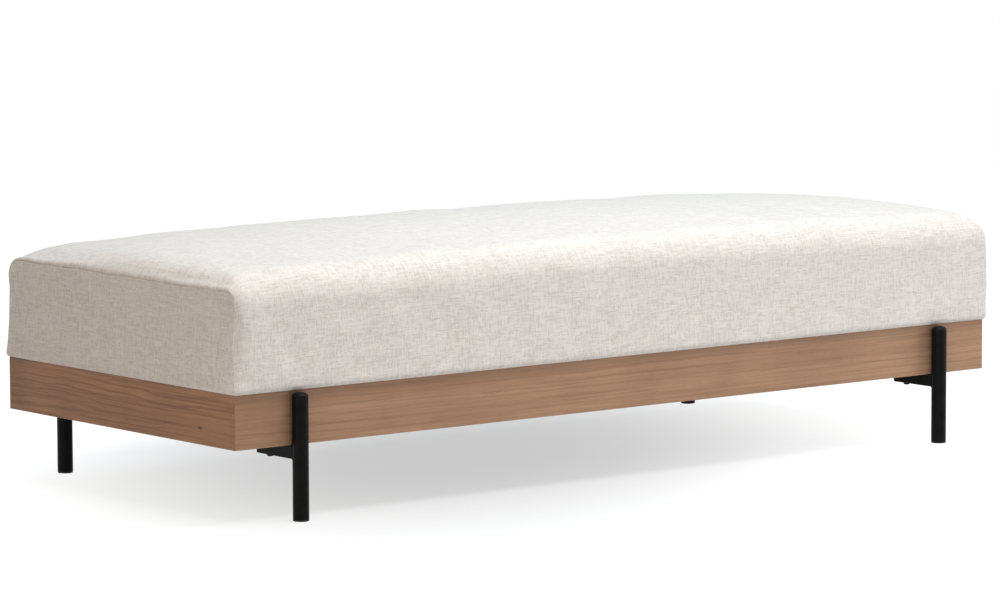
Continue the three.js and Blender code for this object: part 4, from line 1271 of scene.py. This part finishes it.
def end_panel(name, end, node):
    """The end panel: its swollen patch, the seam's roll and a strip of allowance along the seam.

    Its cloth map is moved aside, so that its yarns aren't the wrap's over again.
    """
    points, distance, nearest = panel_surface(end, panel_rows, panel_columns)
    points += seam_shift(end, distance, nearest)
    number = np.arange(points[..., 0].size).reshape(points.shape[:2])
    edge = np.concatenate([number[:, 0], number[-1, 1:-1], number[::-1, -1]])
    edge_way = np.concatenate([panel_rows, panel_columns[1:-1], REAR_HEM - panel_rows[::-1]])
    flat = points.reshape(-1, 3)
    flat[edge], strip = allowance(flat[edge], end, edge_way, -1)
    everything = np.concatenate([flat, *strip])
    ring = np.concatenate([edge, np.arange(len(flat), len(everything))])
    faces = np.concatenate([grid_faces(*number.shape), ring[grid_faces(3, len(edge))]])
    cloth = everything[:, 1:] + np.array([CLOTH_APART * end, CLOTH_UP])
    cloth[len(flat):] = cloth[np.tile(edge, 2)]
    cloth_piece(name, node, everything, faces, cloth)


for end, side in ENDS:
    end_panel(f"seat_cover_{side}_end", end, f"cover_end_{side}")

# %% [markdown]
# ## The wadding
#
# Under the cloth lies a blanket of polyester wadding, which gives the cushion its
# soft hand. The CAD wadding is stiff and would stand out through a settled cover,
# so it is laid again here. Its outer face follows the cloth a little way inside,
# its inner face lies on the foam, and a strip joins the two all the way round.

# %% Wadding
WADDING_GAP = 0.3 * MM
FOAM_INSET = 12.5 * MM
THINNEST_WADDING = 0.4 * MM
WADDING_FROM_WAY, WADDING_FROM_SEAM = 1.4, 4 * MM
END_WADDING_FROM_WAY = 1.3
SPARE_AT_SEAM, SPARE_REACH, SPARE_AT_HEM = 3 * MM, 20 * MM, 1.2 * MM


def blanket(name, outer, inner, node):
    """A closed slab between two grids of points: the two faces and the strip round their borders."""
    number = np.arange(outer[..., 0].size).reshape(outer.shape[:2])
    border = np.concatenate([number[0], number[1:, -1], number[-1, -2::-1], number[-2:0:-1, 0]])
    following = np.roll(border, -1)
    sheet, count = grid_faces(*number.shape), number.size
    strip = np.stack([border + count, following + count, following, border], axis=-1)
    faces = np.concatenate([sheet, sheet[:, ::-1] + count, strip])
    points = np.concatenate([outer.reshape(-1, 3), inner.reshape(-1, 3)])
    piece = make_piece(name, points, turned_out(points, faces), wadding_finish)
    stand_for_padding(piece, node)


def end_wadding(name, end, node):
    """The wadding behind an end panel: the panel's form drawn in on all sides by the foam's inset."""
    points, distance, _ = panel_surface(end, panel_rows[panel_rows > END_WADDING_FROM_WAY], panel_columns)
    low, high = points[0, :, 2].min(), points[..., 2].max()
    share = (points[..., 2] - low) / (high - low)
    points[..., 2] -= share * FOAM_INSET
    points[..., 1] *= 1 - FOAM_INSET / HALF_DEPTH
    deep = SEAT_HALF - FOAM_INSET - lean(points[..., 2] - BOARD_TOP)
    spare = SPARE_AT_SEAM * np.exp(-distance / SPARE_REACH) + SPARE_AT_HEM * (1 - share)
    near_cloth = end * points[..., 0] - CLOTH_THICKNESS - WADDING_GAP - spare
    outer, inner = points.copy(), points.copy()
    outer[..., 0] = end * np.maximum(near_cloth, deep + THINNEST_WADDING)
    inner[..., 0] = end * deep
    blanket(name, outer, inner, node)


picked = np.ix_(wrap_depth > SEAM_DEPTH + WADDING_FROM_SEAM,
                np.minimum(wrap_way, REAR_HEM - wrap_way) > WADDING_FROM_WAY)
cloth_face, plain_face = wrap_points[2:-2], seat_points(wrap_depth, wrap_end, wrap_way, settled=False)
outer_face = cloth_face - outward_normals(cloth_face) * (CLOTH_THICKNESS + WADDING_GAP)
inner_face = plain_face - outward_normals(plain_face) * FOAM_INSET
blanket("wadding_blanket", outer_face[picked], inner_face[picked], "wadding_wrap")
for end, side in ENDS:
    end_wadding(f"wadding_{side}_end", end, f"wadding_end_{side}")
print("wadding on", int(outer_face[picked][..., 0].size), "points of the wrap")

# %% [markdown]
# ## The dust cloth
#
# A thin black cloth closes the seat from below. It is stapled round its edge
# and hangs a little between the rails, so it is a sheet whose height is a
# shallow bowl, flat at the border, with faint ripples drawn from the staples.

# %% Dust cloth
DUST_SAG, DUST_RIPPLE, DUST_THICKNESS = 3.5 * MM, 0.5 * MM, 0.6 * MM
DUST_BORDER, DUST_BOWL = 26 * MM, 190 * MM
DUST_GRID, DUST_SEED = (150, 70), 61
DIMPLE_PITCH = 1.8 * MM


def dust_sheet():
    """A grid under the seat: flat near its border, sagging towards the middle with light ripples."""
    low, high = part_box("dust_cover")
    x = np.linspace(low.x, high.x, DUST_GRID[0])[:, None]
    y = np.linspace(low.y, high.y, DUST_GRID[1])[None, :]
    to_edge = np.minimum(np.minimum(x - low.x, high.x - x), np.minimum(y - low.y, high.y - y))
    slack = ease((to_edge - DUST_BORDER) / DUST_BOWL, 2.2)
    ripple = DUST_RIPPLE * waves(x + 0.6 * y, 60 * MM, 170 * MM, DUST_SEED) * slack
    height = high.z - 0.1 * MM - DUST_SAG * slack + ripple
    points = np.stack(np.broadcast_arrays(x, y, height), axis=-1)
    return points.reshape(-1, 3), (high.x - low.x, high.y - low.y)


def dust_cloth():
    """Black non-woven: matted fibres with a grid of tiny bonded dimples."""
    made = Finish("dust_cloth", Roughness=0.9, Specular_IOR_Level=0.12)
    x, y, _ = made.split(made.place())
    across_x, across_y = (made.calc("SINE", made.times(part, 2 * math.pi / DIMPLE_PITCH)) for part in (x, y))
    mat = made.noise(made.place(), scale=700, detail=4, roughness=0.7)
    height = made.plus(made.times(made.times(across_x, across_y), 0.4), mat)
    colour = made.blend(made.step(mat, 0.35, 0.7), rgb(0.010, 0.010, 0.011), rgb(0.040, 0.040, 0.042))
    return made.set(Base_Color=colour, Normal=made.relief(height, 0.2 * MM, 0.6))


sheet_points, sheet_size = dust_sheet()
dust_piece = make_piece("dust_sheet", sheet_points, grid_faces(*DUST_GRID)[:, ::-1], dust_cloth())
wall = dust_piece.modifiers.new("cloth_thickness", "SOLIDIFY")
wall.thickness, wall.offset = DUST_THICKNESS, 0
stand_for(dust_piece, "dust_cover")
print("dust cloth", [round(v, 3) for v in sheet_size], "m")

# %% [markdown]
# ## Finishes for the pieces that stay as CAD nodes
#
# The other nodes already have their true shape. Their own mesh stays as it is,
# and only the material in its slot changes. The bolts that hold the brackets are
# black, since no bright head shows under them, and the hidden ones are zinc.

# %% Finishes on CAD nodes
node_finishes = {
    "corner_block_": beech_z, "leg_bearer_": beech_y, "foot_glide_": black_plastic,
    "bracket_bolt_": black_coat, "leg_bolt_": zinc_finish, "seat_bolt_": zinc_finish,
    "seat_front_rail": pine_x, "seat_rear_rail": pine_x, "seat_left_rail": pine_y,
    "seat_right_rail": pine_y, "seat_cross_rail_": pine_y, "cross_strap_": webbing_y,
    "long_strap_": webbing_x, "felt_pad": felt_finish, "foam_core": firm_foam,
    "comfort_layer": soft_foam,
}
dressed = 0
for name, piece in nodes.items():
    finish = next((f for start, f in node_finishes.items() if name.startswith(start)), None)
    if finish:
        for slot in piece.material_slots:
            slot.material = finish
        dressed += 1
print(dressed, "nodes dressed")

# %% [markdown]
# ## Floor and light
#
# The photograph shows the divan on a white floor, lit from above and from the
# front right. The roll over the front edge is nearly as bright as the top, the
# front falls off below it, and the end panel is the darkest face. A long lamp
# high over the front edge gives that roll, with a small one beside it for the
# left end. A cool lamp above lights the top, one at the right fills the front,
# and a weak warm one at the left lifts the end panel.
#
# The open floor has to be plain white while it still takes the soft shadow. So
# for rays that the camera, a gloss or a transmission sends out, the floor reflects
# less and glows instead. The glow is dim near the divan and grows away from it in
# a turned oval, so that dim oval is a painted soft shadow over the weak real one.
# All other rays meet a plain white floor, which lights the faces from below.

# %% Floor
# The painted shadow: a turned oval round the divan where the floor's glow is dimmer.
PAINTED_SHADOW_MIDDLE = (-0.057, 0.121)
PAINTED_SHADOW_RADII, PAINTED_SHADOW_TURN = (1.70, 0.96), 0.81
GLOW_IN_PAINTED_SHADOW, GLOW_FAR, PAINTED_SHADOW_FADE_POWER = 0.587, 0.991, 1.8
FLOOR_SEEN, FLOOR_LIT = 0.20, 0.80
FLOOR_REACH = 8.0


def studio_floor():
    """White for the light it passes on; for the camera darker, with a glow that grows with distance, whose
    dim middle round the divan is a painted shadow.
    """
    floor = Finish("studio_floor", Roughness=0.9, Specular_IOR_Level=0.0)
    x, y, _ = floor.split(floor.place())
    x, y = floor.minus(x, PAINTED_SHADOW_MIDDLE[0]), floor.minus(y, PAINTED_SHADOW_MIDDLE[1])
    cos, sin = math.cos(PAINTED_SHADOW_TURN), math.sin(PAINTED_SHADOW_TURN)
    wide = floor.plus(floor.times(x, cos / PAINTED_SHADOW_RADII[0]), floor.times(y, sin / PAINTED_SHADOW_RADII[0]))
    long = floor.minus(floor.times(y, cos / PAINTED_SHADOW_RADII[1]), floor.times(x, sin / PAINTED_SHADOW_RADII[1]))
    # Painted shadow: the glow is lowest under the divan and grows outwards.
    growth = floor.calc("POWER", floor.step(floor.hypotenuse(wide, long), 0.0, 1.0), PAINTED_SHADOW_FADE_POWER)
    glow = floor.calc("MULTIPLY_ADD", growth, GLOW_FAR - GLOW_IN_PAINTED_SHADOW, GLOW_IN_PAINTED_SHADOW)
    seen = floor.seen()
    shade = floor.calc("MULTIPLY_ADD", seen, FLOOR_SEEN - FLOOR_LIT, FLOOR_LIT)
    return floor.set(Base_Color=floor.join(shade, shade, shade), Emission_Color=rgb(1, 1, 1),
                     Emission_Strength=floor.times(glow, seen))


floor_points = np.array([[-1, -1, 0], [1, -1, 0], [1, 1, 0], [-1, 1, 0]]) * FLOOR_REACH
floor = make_piece("studio_floor", floor_points, np.array([[0, 1, 2, 3]]), studio_floor())
print("floor", 2 * FLOOR_REACH, "m wide")

# %% Lamps and world
AMBIENT = 0.06
WHITE, COOL, WARM = (1.0, 1.0, 1.0), (0.80, 1.02, 1.20), (1.0, 0.77, 0.57)


def soft_lamp(name, place, target, size, power, colour):
    """A rectangular lamp at a place, turned to a target."""
    data = bpy.data.lights.new(name, "AREA")
    data.shape = "RECTANGLE"
    data.size, data.size_y = size
    data.energy = power
    data.color = colour
    lamp = bpy.data.objects.new(name, data)
    bpy.context.collection.objects.link(lamp)
    turn = (Vector(target) - Vector(place)).to_track_quat("-Z", "Y")
    lamp.matrix_world = Matrix.Translation(place) @ turn.to_matrix().to_4x4()


soft_lamp("lamp_above", (0.8, 0.55, 2.9), (0.2, 0.1, 0.4), (3.0, 2.2), 33, COOL)
soft_lamp("lamp_front_above", (-0.1, -1.4, 3.35), (-0.05, -0.2, 0.4), (3.2, 1.1), 90, WHITE)
soft_lamp("lamp_front_left", (-1.6, -1.6, 3.0), (-0.6, -0.2, 0.4), (1.6, 1.2), 11, WHITE)
soft_lamp("lamp_right", (3.8, -2.3, 1.7), (0.2, -0.3, 0.3), (1.3, 1.3), 55, WHITE)
soft_lamp("lamp_left", (-4.2, -0.4, 1.0), (-0.9, 0, 0.3), (1.8, 1.6), 19.5, WARM)

world = bpy.data.worlds.new("studio")
world.use_nodes = True
bpy.context.scene.world = world
sky = Nodes(world.node_tree)
background = sky.tree.nodes["Background"]
sky.feed(background.inputs["Color"], rgb(1, 1, 1))
sky.feed(background.inputs["Strength"], sky.calc("MULTIPLY_ADD", sky.seen(), 1 - AMBIENT, AMBIENT))
print("world", AMBIENT, "ambient")
